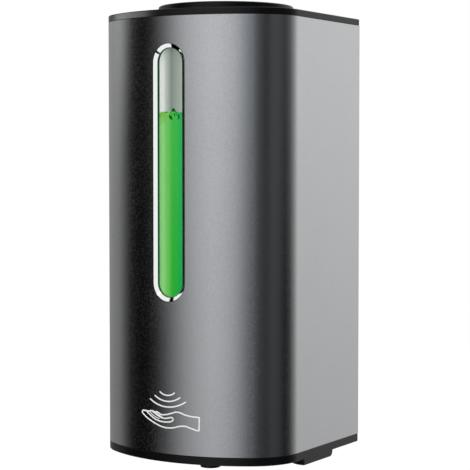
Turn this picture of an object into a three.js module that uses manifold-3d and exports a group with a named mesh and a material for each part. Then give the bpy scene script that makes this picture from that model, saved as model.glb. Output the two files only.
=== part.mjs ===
// Wall-mounted automatic soap dispenser: a D-shaped steel sleeve between a black base and a black top
// cover, with a sight window, a soap tank, a gear pump, a control board and four upright AA cells.
// Millimetres, +Z up, +X to the right, and the front faces -Y. The origin is the centre of the wall
// bracket's back face. Inside the dispenser group, y = 0 is the back of the sleeve and z = 0 its foot.
import * as THREE from 'three';
import { mergeVertices } from 'three/addons/utils/BufferGeometryUtils.js';
import Module from 'manifold-3d';

const wasm = await Module();
wasm.setup();

// Gaps: fitted pieces, stacked faces, and how far a cutting solid runs past what it cuts
const fitGap = 0.3;
const seatGap = 0.15;
const overrun = 3;

// Section seen from above: a shallow front arc, round front corners, flat sides and a flat back
const bodyWidth = 100;
const bodyDepth = 95;
const frontRadius = 72;
const frontCornerRadius = 25;
const rearBendRadius = 1.5;

// Steel sleeve
const sleeveHeight = 200;
const sheetThickness = 0.8;
const returnFlange = 8;

// Sight window: bezel, lens and gasket, one behind the other
const windowWidth = 17;
const windowSill = 6.35;
const windowHead = 2.4;
const bezelSlopeWidth = 2.1;
const bezelSlopeDepth = 2.1;
const bezelDepth = 3;
const bezelFlangeReach = 2;
const bezelFlangeThickness = 1;
const lensRecess = 1.6;
const lensFaceRadius = 18;
const lensFlangeReach = 1.4;
const lensFlangeThickness = 1;
const windowGasketReach = 2.2;
const windowGasketThickness = 0.8;
const tankSlotWidth = 12;

// Wall bracket, its hooks and its screw holes
const bracketWidth = 58;
const bracketHeight = 96;
const bracketThickness = 4.5;
const bracketCornerRadius = 6;
const bracketCentreHeight = 124;
const wallGap = 0.8;
const hookWidth = 10;
const hookSpacing = 34;
const hookRowSpacing = 46;
const hookArmHeight = 3;
const hookLipHeight = 8;
const hookLipThickness = 2.3;
const wallScrewRadius = 2.25;
const wallScrewHeadRadius = 4.4;
const wallScrewInset = 7;

// Back cover
const backCoverWall = 2.2;
const recessMargin = 3;
const recessGap = 0.5;
const liftTravel = 12;
const tankRearGap = 1.5;
const backScrewDrop = 8;
const backScrewMargin = 5;

// Base cover, its rim, and the skids under it
const baseBand = 4;
const basePlateThickness = 2.5;
const rimHeight = 7;
const rimWall = 1.8;
const skidFrontDepth = 38.3;
const skidLength = 28.7;
const skidWidth = 10.5;
const skidDrop = 2.85;
const skidNoseRadius = 9;
const skidHeelRadius = 2.4;

// Chassis: deck, legs, side walls, motor cradle and rear bosses
const bayGap = 1.5;
const deckThickness = 3;
const deckInset = 1.6;
const deckRearInset = 7;
const legRadius = 4;
const legInset = 8;
const legFrontSetback = 1.8;
const legRearY = -22;
const sideWallThickness = 1.8;
const sideWallFoot = 9;
const sideOpeningMargin = 9;
const cradleWall = 2;
const cradleGrip = 4.55;
const rearBossWidth = 9;
const rearBossHeight = 13;
const rearBossDepth = 6;

// Soap tank, its outlet, the filler neck and the soap
const tankWall = 2;
const tankFloor = 2.5;
const tankHeadroom = 10;
const tankCornerRadius = 3;
const spigotRadius = 3.5;
const spigotBore = 2.2;
const tankSpigotLength = 11;
const sumpRadius = 7;
const sumpDepth = 1.4;
const gasketThickness = 0.75;
const neckPlateThickness = 2;
const neckLipHeight = 2.4;
const neckLipWall = 1.5;
const neckRadius = 26;
const neckWall = 2;
const soapDrop = 31.1;

// Top cover and filler lid
const coverBand = 3.2;
const coverChamfer = 0.5;
const skirtHeight = 7;
const collarWall = 2;
const neckRearMargin = 5.4;
const lidRadius = 32.4;
const lidRise = 4.7;
const lidChamfer = 0.8;
const lidWall = 1.9;
const plugDrop = 7.5;
const plugWall = 2;
const plugGap = 0.6;
const sealWidth = 1.1;
const sealHeight = 2;
const sealGrooveDepth = 1;

// Nozzle and its duckbill valve
const nozzleDepth = 36.6;
const nozzleRadius = 4.9;
const nozzleTip = 12;
const nozzleFlangeRadius = 7;
const nozzleFlangeThickness = 2;
const nozzleMouthRadius = 3.6;
const nozzleMouthDepth = 7;
const nozzleChamfer = 0.5;
const hoseBarbRadius = 2.6;
const hoseBarbBore = 1.5;
const hoseBarbLength = 4.2;
const valveLip = 0.3;
const valveWall = 0.9;
const valveFlange = 1.3;
const valveLength = 5.4;

// Hoses
const outletHoseWall = 1.5;
const inletHoseWall = 1.5;

// Gear pump
const gearTeeth = 10;
const gearModule = 1.2;
const gearPressureAngle = THREE.MathUtils.degToRad(20);
const gearAddendum = 0.9;
const gearDedendum = 1.45;
const gearBacklash = 0.3;
const gearHeight = 6.2;
const pumpSetback = 11.4;
const pumpBottom = 12;
const pumpFloor = 2.5;
const pumpWall = 3;
const pumpTipGap = 0.3;
const pumpCavityHeight = 6.5;
const portRadius = 2.4;
const inletSpigotX = 19;
const inletSpigotSetback = 8.7;
const inletSpigotLength = 10;
const inletBossWall = 2;
const pumpGasketThickness = 0.6;
const pumpCoverThickness = 2.5;
const pumpEarReach = 9;
const pumpEarWidth = 8;
const pumpEarThickness = 3;
const idlerPinRadius = 1.5;
const idlerPinSeat = 1.8;
const runningGap = 0.2;

// Motor
const motorRadius = 12.2;
const motorLength = 29;
const motorWall = 1.2;
const motorCapThickness = 2.8;
const motorCapLip = 3;
const terminalWidth = 2.4;
const terminalThickness = 0.6;
const terminalHeight = 3;
const terminalSpacing = 12;
const shaftRadius = 1;
const armatureRadius = 8;
const armatureLength = 17;
const shaftSealRadius = 3.2;
const shaftSealThickness = 1;

// Control board and what is soldered to it
const boardWidth = 58;
const boardDepth = 20;
const boardSetback = 15.6;
const boardBottom = 9;
const boardThickness = 1.6;
const boardPinSpacingX = 52;
const boardPinSpacingY = 14;
const boardPostRadius = 2.2;
const boardPinRadius = 1.1;
const boardPinHeight = 1;
const ledRadius = 2.5;
const ledRimRadius = 2.9;
const ledRimHeight = 1;
const ledLength = 8.4;
const ledSpacing = 16;
const sensorSetback = 19.6;
const chipSide = 7;
const chipHeight = 1.4;
const chipX = -8;
const capacitorRadius = 3.2;
const capacitorHeight = 8;
const capacitorX = 8;
const connectorWidth = 8;
const connectorDepth = 6;
const connectorHeight = 6;
const connectorX = -20;
const connectorWall = 1;
const switchSide = 6;
const switchHeight = 3.5;
const plungerRadius = 1.7;
const plungerLength = 1.75;
const plungerSeat = 0.95;
const buttonTravel = 0.6;

// Infrared window and power button, both in the base cover
const sensorWindowWidth = 27;
const sensorWindowDepth = 9;
const sensorFlangeReach = 1.5;
const sensorFlangeThickness = 1;
const buttonX = 20;
const buttonRadius = 4;
const buttonFlangeRadius = 5.4;
const buttonFlangeThickness = 1;
const buttonStemRadius = 2;
const buttonDimple = 0.5;

// Battery box, cells and contacts
const cellRadius = 7.25;
const cellLength = 50.5;
const cellNubRadius = 2.75;
const cellNubHeight = 1;
const cellPitch = 15.2;
const cellCount = 4;
const cellSpare = 0.35;
const batteryWall = 1.5;
const batteryY = -21;
const batteryFlangeReach = 5;
const batteryFlangeThickness = 2;
const contactThickness = 0.4;
const contactWidth = 9;
const contactMargin = 3;
const springRadius = 3.6;
const springTipRadius = 2.4;
const springWireRadius = 0.35;
const springHeight = 3;
const springTurnCount = 2.5;

// Battery door and its hinge
const doorThickness = 2;
const doorHingeY = -9.2;
const doorHingeRise = 1.8;
const knuckleRadius = 1.8;
const knuckleWidth = 24;
const lugWidth = 5;
const hingePinRadius = 0.9;
const doorRearGap = 2.6;
const doorSwingGap = 0.9;
const doorEndGap = 0.45;
const hingeBayGap = 0.6;
const fingerNotchRadius = 5;
const fingerNotchDepth = 0.9;

// Screws: pan heads on straight shanks
const screwRadius = 1.5;
const screwHeadRadius = 2.8;
const screwHeadHeight = 1.8;
const screwCrownRadius = 2;
const screwLength = 9;
const screwGrip = 1.2;

// Steps round each curve
const frontArcSteps = 10;
const cornerSteps = 5;
const bendSteps = 3;
const lidSteps = 36;
const neckSteps = 28;
const roundSteps = 16;
const smallSteps = 10;
const springStepsPerTurn = 7;
const springSides = 4;

// Places worked out from the sizes above
const halfWidth = bodyWidth / 2;
const frontArcCentreY = frontRadius - bodyDepth;
const cornerCentreX = halfWidth - frontCornerRadius;
const cornerArm = frontRadius - frontCornerRadius;
const frontArcHalfAngle = Math.asin(cornerCentreX / cornerArm);
const cornerCentreY = frontArcCentreY - cornerArm * Math.cos(frontArcHalfAngle);
const coverBottom = sleeveHeight + seatGap;
const coverTop = sleeveHeight + coverBand;
const baseBottom = -baseBand;
const baseTop = -seatGap;
const basePlateTop = baseBottom + basePlateThickness;
const liningInset = sheetThickness + fitGap;
const backCoverFace = -liningInset - backCoverWall;
const bracketFront = wallGap - bracketThickness;
const recessFloor = bracketFront - recessGap;
const recessInside = recessFloor - backCoverWall;
const hookLipBack = recessInside - fitGap;
const hookLipFront = hookLipBack - hookLipThickness;
const innerRearInset = fitGap - backCoverFace;
const tankRearInset = tankRearGap - hookLipFront;
const bezelInnerWidth = windowWidth - 2 * bezelSlopeWidth;
const lensFlangeInset = bezelDepth + seatGap;
const lensBackInset = lensFlangeInset + lensFlangeThickness;
const windowGasketInset = lensBackInset + seatGap;
const tankInset = windowGasketInset + windowGasketThickness + seatGap;
const tankCavityInset = tankInset + tankWall;
const tankCavityRear = tankRearInset + tankWall;
const nozzleY = nozzleDepth - bodyDepth;
const pumpCentreY = nozzleY + pumpSetback;
const inletSpigotY = pumpCentreY + inletSpigotSetback;
const boardCentreY = nozzleY - boardSetback;
const sensorY = nozzleY - sensorSetback;
const legX = halfWidth - legInset;
const legFrontY = cornerCentreY + legFrontSetback;
const backScrewX = halfWidth - returnFlange - backScrewMargin;
const gearPitchRadius = gearTeeth * gearModule / 2;
const gearTipRadius = gearPitchRadius + gearAddendum;
const pumpCavityRadius = gearTipRadius + pumpTipGap;
const pumpBodyRadius = pumpCavityRadius + pumpWall;
const pumpCavityFloor = pumpBottom + pumpFloor;
const pumpTop = pumpCavityFloor + pumpCavityHeight;
const pumpGasketBottom = pumpTop + seatGap;
const pumpCoverBottom = pumpGasketBottom + pumpGasketThickness + seatGap;
const pumpCoverTop = pumpCoverBottom + pumpCoverThickness;
const pumpEarX = gearPitchRadius + pumpBodyRadius + pumpEarReach / 2;
const motorX = -gearPitchRadius;
const motorBottom = pumpCoverTop + seatGap;
const motorTop = motorBottom + motorLength;
const motorCapTop = motorTop + seatGap + motorCapThickness;
const cradleRadius = motorRadius + fitGap;
const doorInside = baseBottom + doorThickness;
const doorHingeZ = baseBottom + doorHingeRise;
const cellRowLength = (cellCount - 1) * cellPitch + 2 * (cellRadius + cellSpare);
const batteryHalfLength = cellRowLength / 2 + batteryWall;
const batteryHalfDepth = cellRadius + cellSpare + batteryWall;
const doorContactTop = doorInside + seatGap + contactThickness;
const nubDownBottom = doorContactTop + seatGap;
const springDownBottom = doorContactTop + springHeight + seatGap;
const topContactBottom = springDownBottom + cellLength + seatGap;
const batteryCeiling = topContactBottom + contactThickness + seatGap;
const batteryTop = batteryCeiling + batteryWall;
const doorOpeningHalf = batteryHalfLength + doorEndGap;
const doorOpeningFront = batteryY - batteryHalfDepth - fitGap;
const doorOpeningRear = doorHingeY - doorRearGap + doorSwingGap;
const bayHeight = Math.max(batteryTop, motorCapTop) + bayGap;
const backScrewHeight = bayHeight - backScrewDrop;
const deckTop = bayHeight + deckThickness;
const tankBottom = deckTop + seatGap;
const tankFloorTop = tankBottom + tankFloor;
const tankTop = sleeveHeight - tankHeadroom;
const windowBottom = tankFloorTop + windowSill;
const windowTop = tankTop - windowHead;
const windowHeight = windowTop - windowBottom;
const windowCentreHeight = (windowBottom + windowTop) / 2;
const bezelInnerHeight = windowHeight - 2 * bezelSlopeWidth;
const tankSlotHeight = windowHeight - windowWidth + tankSlotWidth;
const soapLevel = windowTop - soapDrop;
const gasketBottom = tankTop + seatGap;
const neckPlateBottom = gasketBottom + gasketThickness + seatGap;
const neckPlateTop = neckPlateBottom + neckPlateThickness;
const neckTop = coverTop - seatGap;
const neckY = -tankRearInset - neckRearMargin - neckWall - neckRadius;
const lidBottom = coverTop + fitGap;
const lidTop = coverTop + lidRise;
const boardUnderside = boardBottom - seatGap;
const boardTop = boardBottom + boardThickness + seatGap;
const switchBottom = boardUnderside - switchHeight;
const plungerBottom = switchBottom + plungerSeat - plungerLength;
const sensorFlangeBottom = basePlateTop + seatGap;

// Materials, with the colours, roughness and metalness of the object
const finish = (color, roughness, metalness = 0, opacity = 1) =>
  new THREE.MeshStandardMaterial({ color, roughness, metalness, opacity, transparent: opacity < 1 });
const satinSteel = finish(0x9a9a9c, 0.35, 1);
const zincSteel = finish(0xb4b4b8, 0.4, 1);
const polished = finish(0xe6e6e8, 0.08, 1);
const blackGloss = finish(0x161616, 0.25);
const blackMatte = finish(0x242424, 0.6);
const clearPlastic = finish(0xe8ece8, 0.1, 0, 0.35);
const tankPlastic = finish(0xe4e8e4, 0.4, 0, 0.6);
const greenSoap = finish(0x3cae4a, 0.15, 0, 0.85);
const seal = finish(0xcfcfcf, 0.7);
const pumpPlastic = finish(0xdedcd2, 0.5);
const gearPlastic = finish(0xf2efe4, 0.45);
const boardGreen = finish(0x1f5a34, 0.5);
const chipBlack = finish(0x101010, 0.5);
const ledClear = finish(0x2c2430, 0.15, 0, 0.9);
const cellWrap = finish(0x8c9298, 0.4, 0.6);

// Outline helpers: lists of two-dimensional points, counter-clockwise
const point = (x, y) => new THREE.Vector2(x, y);

function arc(centreX, centreY, radius, fromAngle, toAngle, steps) {
  const points = [];
  for (let step = 0; step <= steps; step++) {
    const angle = fromAngle + (toAngle - fromAngle) * step / steps;
    points.push(point(centreX + radius * Math.cos(angle), centreY + radius * Math.sin(angle)));
  }
  return points;
}

function joinPaths(...paths) {
  const joined = [];
  for (const next of paths.flat()) {
    const last = joined[joined.length - 1];
    if (!last || last.distanceTo(next) > Number.EPSILON * bodyWidth * bodyWidth) joined.push(next);
  }
  return joined;
}

const quarter = Math.PI / 2;

// The front of the section, from the left side round the front to the right side
function frontPath(inset) {
  const cornerRadius = frontCornerRadius - inset;
  const left = 3 * quarter - frontArcHalfAngle;
  const right = 3 * quarter + frontArcHalfAngle;
  return joinPaths(
    arc(-cornerCentreX, cornerCentreY, cornerRadius, 2 * quarter, left, cornerSteps),
    arc(0, frontArcCentreY, frontRadius - inset, left, right, frontArcSteps),
    arc(cornerCentreX, cornerCentreY, cornerRadius, right, 4 * quarter, cornerSteps),
  );
}

function sectionPath(inset, rearInset, rearRadius = 0) {
  const side = halfWidth - inset;
  const rearCorners = [point(side, -rearInset), point(-side, -rearInset)];
  if (rearRadius <= 0) return joinPaths(frontPath(inset), rearCorners);
  const bendX = side - rearRadius;
  const bendY = -rearInset - rearRadius;
  return joinPaths(
    frontPath(inset),
    arc(bendX, bendY, rearRadius, 0, quarter, bendSteps),
    arc(-bendX, bendY, rearRadius, quarter, 2 * quarter, bendSteps),
  );
}

function boxPath(width, height, radius = 0) {
  const x = width / 2 - radius;
  const y = height / 2 - radius;
  if (radius <= 0) return [point(-x, -y), point(x, -y), point(x, y), point(-x, y)];
  return joinPaths(
    arc(-x, -y, radius, 2 * quarter, 3 * quarter, bendSteps),
    arc(x, -y, radius, 3 * quarter, 4 * quarter, bendSteps),
    arc(x, y, radius, 0, quarter, bendSteps),
    arc(-x, y, radius, quarter, 2 * quarter, bendSteps),
  );
}

// A stadium: two half circles joined by straight sides, standing up or lying down
function stadiumPath(width, height) {
  const radius = Math.min(width, height) / 2;
  const x = width / 2 - radius;
  const y = height / 2 - radius;
  return joinPaths(
    arc(x, -y, radius, -quarter, 0, cornerSteps),
    arc(x, y, radius, 0, quarter, cornerSteps),
    arc(-x, y, radius, quarter, 2 * quarter, cornerSteps),
    arc(-x, -y, radius, 2 * quarter, 3 * quarter, cornerSteps),
  ).filter((p, i, all) => p.distanceTo(all[(i + 1) % all.length]) > Number.EPSILON * bodyWidth * bodyWidth);
}

const shifted = (points, x, y) => points.map((p) => point(p.x + x, p.y + y));

// Solid helpers
function solidOf(geometry) {
  geometry.deleteAttribute('normal');
  geometry.deleteAttribute('uv');
  const merged = mergeVertices(geometry);
  const corners = merged.index.array;
  const triangles = [];
  for (let i = 0; i < corners.length; i += 3) {
    const [a, b, c] = [corners[i], corners[i + 1], corners[i + 2]];
    if (a !== b && b !== c && c !== a) triangles.push(a, b, c);
  }
  return new wasm.Manifold(new wasm.Mesh({
    numProp: 3,
    vertProperties: merged.attributes.position.array,
    triVerts: Uint32Array.from(triangles),
  }));
}

function geometryOf(solid) {
  const mesh = solid.getMesh();
  const geometry = new THREE.BufferGeometry();
  geometry.setAttribute('position', new THREE.BufferAttribute(Float32Array.from(mesh.vertProperties), 3));
  geometry.setIndex(new THREE.BufferAttribute(Uint32Array.from(mesh.triVerts), 1));
  geometry.computeVertexNormals();
  return geometry;
}

const join = (first, ...others) => others.reduce((solid, other) => solid.add(other), first);
const cut = (first, ...others) => others.reduce((solid, other) => solid.subtract(other), first);
const common = (first, other) => first.intersect(other);

function extrusion(points, depth, options = {}) {
  return new THREE.ExtrudeGeometry(new THREE.Shape(points), { depth, bevelEnabled: false, ...options });
}

// A prism standing on its outline in plan, from bottom to top
function prism(points, bottom, top) {
  return solidOf(extrusion(points, top - bottom).translate(0, 0, bottom));
}

// The same with its upper edge chamfered
function chamferedPrism(points, bottom, top, chamfer) {
  const bevel = { bevelEnabled: true, bevelThickness: chamfer, bevelSize: chamfer, bevelOffset: -chamfer };
  const geometry = extrusion(points, top - bottom - chamfer, { ...bevel, bevelSegments: 1 });
  const below = box(-bodyWidth, bodyWidth, -2 * bodyDepth, bodyDepth, bottom - 2 * chamfer, bottom);
  return cut(solidOf(geometry.translate(0, 0, bottom)), below);
}

// A prism whose outline is drawn in front view (x, z), from the front y to the back y
function prismY(points, front, back) {
  return solidOf(extrusion(points, back - front).rotateX(quarter).translate(0, back, 0));
}

// A prism whose outline is drawn in side view (y, z), from the left x to the right x
function prismX(points, left, right) {
  const turn = new THREE.Matrix4().makeBasis(
    new THREE.Vector3(0, 1, 0),
    new THREE.Vector3(0, 0, 1),
    new THREE.Vector3(1, 0, 0),
  );
  return solidOf(extrusion(points, right - left).applyMatrix4(turn).translate(left, 0, 0));
}

function box(left, right, front, back, bottom, top) {
  const geometry = new THREE.BoxGeometry(right - left, back - front, top - bottom);
  return solidOf(geometry.translate((left + right) / 2, (front + back) / 2, (bottom + top) / 2));
}

const circle = (x, y, radius, steps) => arc(x, y, radius, 0, 4 * quarter, steps).slice(0, -1);
const rod = (x, y, radius, bottom, top, steps = smallSteps) =>
  prism(circle(x, y, radius, steps), bottom, top);
const rodX = (y, z, radius, left, right) => prismX(circle(y, z, radius, smallSteps), left, right);
const rodY = (x, z, radius, front, back) => prismY(circle(x, z, radius, smallSteps), front, back);

// A body of revolution about Z, from a list of [radius, height] pairs going up its outside
function revolve(profile, steps) {
  const points = profile.map(([radius, height]) => point(radius, height));
  if (profile.every(([radius]) => radius > 0)) points.push(points[0].clone());
  return solidOf(new THREE.LatheGeometry(points, steps).rotateX(quarter).rotateZ(quarter));
}

function tube(innerRadius, outerRadius, bottom, top, steps) {
  return revolve([
    [innerRadius, bottom],
    [outerRadius, bottom],
    [outerRadius, top],
    [innerRadius, top],
  ], steps);
}

// Pan-head screw, head up, with the underside of its head at z = 0
function screwSolid() {
  return revolve([
    [0, -screwLength],
    [screwRadius, -screwLength],
    [screwRadius, 0],
    [screwHeadRadius, 0],
    [screwHeadRadius, screwHeadHeight / 2],
    [screwCrownRadius, screwHeadHeight],
    [0, screwHeadHeight],
  ], smallSteps);
}

// Window helpers: a stadium through the front, and a curved layer of it between two insets
const windowPrism = (width, height) =>
  prismY(shifted(stadiumPath(width, height), 0, windowCentreHeight), -bodyDepth - overrun, cornerCentreY);

function windowLayer(width, height, outerInset, innerInset) {
  const outside = prism(sectionPath(outerInset, 0), 0, sleeveHeight);
  const inside = prism(sectionPath(innerInset, 0), -overrun, sleeveHeight + overrun);
  return cut(common(windowPrism(width, height), outside), inside);
}

// Shell pieces
function shellSleeve() {
  const bendX = halfWidth - rearBendRadius;
  const flangeX = halfWidth - returnFlange;
  const innerBend = rearBendRadius - sheetThickness;
  const outer = joinPaths(
    [point(-flangeX, 0)],
    arc(-bendX, -rearBendRadius, rearBendRadius, quarter, 2 * quarter, bendSteps),
    frontPath(0),
    arc(bendX, -rearBendRadius, rearBendRadius, 0, quarter, bendSteps),
    [point(flangeX, 0)],
  );
  const inner = joinPaths(
    [point(flangeX, -sheetThickness)],
    arc(bendX, -rearBendRadius, innerBend, quarter, 0, bendSteps),
    frontPath(sheetThickness).reverse(),
    arc(-bendX, -rearBendRadius, innerBend, 2 * quarter, quarter, bendSteps),
    [point(-flangeX, -sheetThickness)],
  );
  const opening = windowPrism(windowWidth + 2 * seatGap, windowHeight + 2 * seatGap);
  return cut(prism([...outer, ...inner], 0, sleeveHeight), opening);
}

// A lining wall that follows the inside of the sleeve and passes in front of the back cover
function liningRing(wall, bottom, top) {
  const outside = prism(sectionPath(liningInset, innerRearInset), bottom, top);
  const insidePath = sectionPath(liningInset + wall, innerRearInset + wall);
  return cut(outside, prism(insidePath, bottom - overrun, top + overrun));
}

function topCover() {
  const plate = chamferedPrism(sectionPath(0, 0, rearBendRadius), coverBottom, coverTop, coverChamfer);
  const skirt = liningRing(rimWall, coverBottom - skirtHeight, coverBottom + overrun / 2);
  const holeRadius = neckRadius + neckWall + fitGap;
  const collarBottom = neckPlateTop + seatGap;
  const collarTop = coverBottom + coverBand / 2;
  const collar = rod(0, neckY, holeRadius + collarWall, collarBottom, collarTop, neckSteps);
  const hole = rod(0, neckY, holeRadius, collarBottom - overrun, coverTop + overrun, neckSteps);
  return cut(join(plate, skirt, collar), hole);
}

function fillLid() {
  const plugRadius = neckRadius - plugGap;
  const plugBottom = lidBottom - plugDrop;
  const grooveBottom = sealBottom() - seatGap;
  const grooveTop = grooveBottom + sealHeight + 2 * seatGap;
  return revolve([
    [0, lidTop - lidWall],
    [plugRadius - plugWall, lidTop - lidWall],
    [plugRadius - plugWall, plugBottom],
    [plugRadius, plugBottom],
    [plugRadius, grooveBottom],
    [plugRadius - sealGrooveDepth, grooveBottom],
    [plugRadius - sealGrooveDepth, grooveTop],
    [plugRadius, grooveTop],
    [plugRadius, lidBottom],
    [lidRadius, lidBottom],
    [lidRadius, lidTop - lidChamfer],
    [lidRadius - lidChamfer, lidTop],
    [0, lidTop],
  ], lidSteps);
}

const sealBottom = () => lidBottom - plugDrop + sealHeight;

function lidSeal() {
  const inner = neckRadius - plugGap - sealGrooveDepth + seatGap;
  return tube(inner, inner + sealWidth + seatGap, sealBottom(), sealBottom() + sealHeight, neckSteps);
}

function windowBezel() {
  const ring = windowLayer(windowWidth, windowHeight, 0, bezelDepth);
  const flange = windowLayer(
    windowWidth + 2 * bezelFlangeReach,
    windowHeight + 2 * bezelFlangeReach,
    liningInset,
    liningInset + bezelFlangeThickness,
  );
  const slope = extrusion(stadiumPath(bezelInnerWidth, bezelInnerHeight), overrun, {
    bevelEnabled: true,
    bevelThickness: bezelSlopeDepth,
    bevelSize: bezelSlopeWidth,
    bevelSegments: 1,
  });
  slope.rotateX(quarter).translate(0, -bodyDepth, windowCentreHeight);
  return cut(join(ring, flange), windowPrism(bezelInnerWidth, bezelInnerHeight), solidOf(slope));
}

function sightLens() {
  const width = bezelInnerWidth - 2 * fitGap;
  const height = bezelInnerHeight - 2 * fitGap;
  const faceAxisY = lensRecess + lensFaceRadius - bodyDepth;
  const face = rod(0, faceAxisY, lensFaceRadius, 0, sleeveHeight, 3 * roundSteps);
  const plug = common(windowLayer(width, height, 0, lensBackInset), face);
  const flange = windowLayer(
    width + 2 * lensFlangeReach,
    height + 2 * lensFlangeReach,
    lensFlangeInset,
    lensBackInset,
  );
  return join(plug, flange);
}

function windowGasket() {
  const ring = windowLayer(
    tankSlotWidth + 2 * windowGasketReach,
    tankSlotHeight + 2 * windowGasketReach,
    windowGasketInset,
    windowGasketInset + windowGasketThickness,
  );
  return cut(ring, windowPrism(tankSlotWidth + fitGap, tankSlotHeight + fitGap));
}

// Wall bracket, drawn with its centre at z = 0 and its back at y = 0
function wallBracket() {
  const plate = prismY(boxPath(bracketWidth, bracketHeight, bracketCornerRadius), -bracketThickness, 0);
  const screwX = bracketWidth / 2 - wallScrewInset;
  const screwZ = bracketHeight / 2 - wallScrewInset;
  const lipFront = hookLipFront - wallGap;
  const lipBack = hookLipBack - wallGap;
  let bracket = plate;
  for (const side of [-1, 1]) {
    for (const row of [-1, 1]) {
      const left = side * hookSpacing / 2 - hookWidth / 2;
      const bottom = row * hookRowSpacing / 2;
      const armTop = bottom + hookArmHeight;
      const arm = box(left, left + hookWidth, lipFront, -bracketThickness / 2, bottom, armTop);
      const lip = prismX([
        point(lipFront, bottom),
        point(lipBack, bottom),
        point(lipBack, armTop + hookLipHeight),
        point(lipFront + hookLipThickness / 2, armTop + hookLipHeight),
        point(lipFront, armTop + hookLipHeight / 2),
      ], left, left + hookWidth);
      const hole = rodY(side * screwX, row * screwZ, wallScrewRadius, -bracketThickness - overrun, overrun);
      const sink = solidOf(new THREE.CylinderGeometry(
        wallScrewRadius,
        wallScrewHeadRadius,
        bracketThickness / 2,
        smallSteps,
      ).rotateY(quarter).translate(side * screwX, -bracketThickness * 3 / 4, row * screwZ));
      bracket = cut(join(bracket, arm, lip), hole, sink);
    }
  }
  return bracket;
}

function backCover() {
  const side = halfWidth - sheetThickness - 2 * fitGap;
  const flangeX = halfWidth - returnFlange - fitGap;
  const bottom = fitGap;
  const top = sleeveHeight - fitGap;
  const plate = box(-side, side, backCoverFace, -liningInset, bottom, top);
  const middle = box(-flangeX, flangeX, -liningInset - fitGap, 0, bottom, top);
  const recessHalf = bracketWidth / 2 + recessMargin;
  const recessBottom = bracketCentreHeight - bracketHeight / 2 - liftTravel - recessMargin;
  const recessTop = bracketCentreHeight + bracketHeight / 2 + recessMargin;
  const pan = box(
    -recessHalf - backCoverWall,
    recessHalf + backCoverWall,
    recessInside,
    backCoverFace / 2,
    recessBottom - backCoverWall,
    recessTop + backCoverWall,
  );
  const recessCentre = (recessBottom + recessTop) / 2;
  const recessOutline = boxPath(2 * recessHalf, recessTop - recessBottom, bracketCornerRadius);
  const recess = prismY(shifted(recessOutline, 0, recessCentre), recessFloor, overrun);
  let cover = cut(join(plate, middle, pan), recess);
  for (const x of [-hookSpacing / 2, hookSpacing / 2]) {
    for (const row of [-1, 1]) {
      const armBottom = bracketCentreHeight + row * hookRowSpacing / 2;
      const half = hookWidth / 2 + fitGap;
      const slotTop = armBottom + hookArmHeight + fitGap;
      const slotBottom = armBottom - liftTravel - fitGap;
      const [slotFront, slotBack] = [recessInside - overrun, recessFloor + overrun];
      cover = cut(cover, box(x - half, x + half, slotFront, slotBack, slotBottom, slotTop));
    }
    const screwX = Math.sign(x) * backScrewX;
    const hole = rodY(screwX, backScrewHeight, screwRadius + fitGap, backCoverFace - overrun, overrun);
    const headDepth = -screwHeadHeight - seatGap;
    const counterbore = rodY(screwX, backScrewHeight, screwHeadRadius + fitGap, headDepth, overrun);
    cover = cut(cover, hole, counterbore);
  }
  return cover;
}

// Skid under one side of the base, with a rounded inner nose and a rounded heel
function skid(side) {
  const front = skidFrontDepth - bodyDepth;
  const back = front + skidLength;
  const inner = halfWidth - skidWidth;
  const nose = [inner + skidNoseRadius, front + skidNoseRadius, skidNoseRadius];
  const plan = joinPaths(
    [point(halfWidth, front), point(halfWidth, back), point(inner, back)],
    arc(...nose, 2 * quarter, 3 * quarter, cornerSteps),
  ).map((p) => point(side * p.x, p.y));
  if (side < 0) plan.reverse();
  const foot = baseBottom - skidDrop;
  const heelY = back - skidHeelRadius;
  const profile = joinPaths(
    [point(front - overrun, baseBottom + overrun / 2), point(front - overrun, foot)],
    arc(heelY, foot + skidHeelRadius, skidHeelRadius, 3 * quarter, 4 * quarter, cornerSteps),
    [point(back, baseBottom + overrun / 2)],
  );
  const block = prism(plan, foot, baseBottom + basePlateThickness / 2);
  return common(block, prismX(profile, -bodyWidth, bodyWidth));
}

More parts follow.
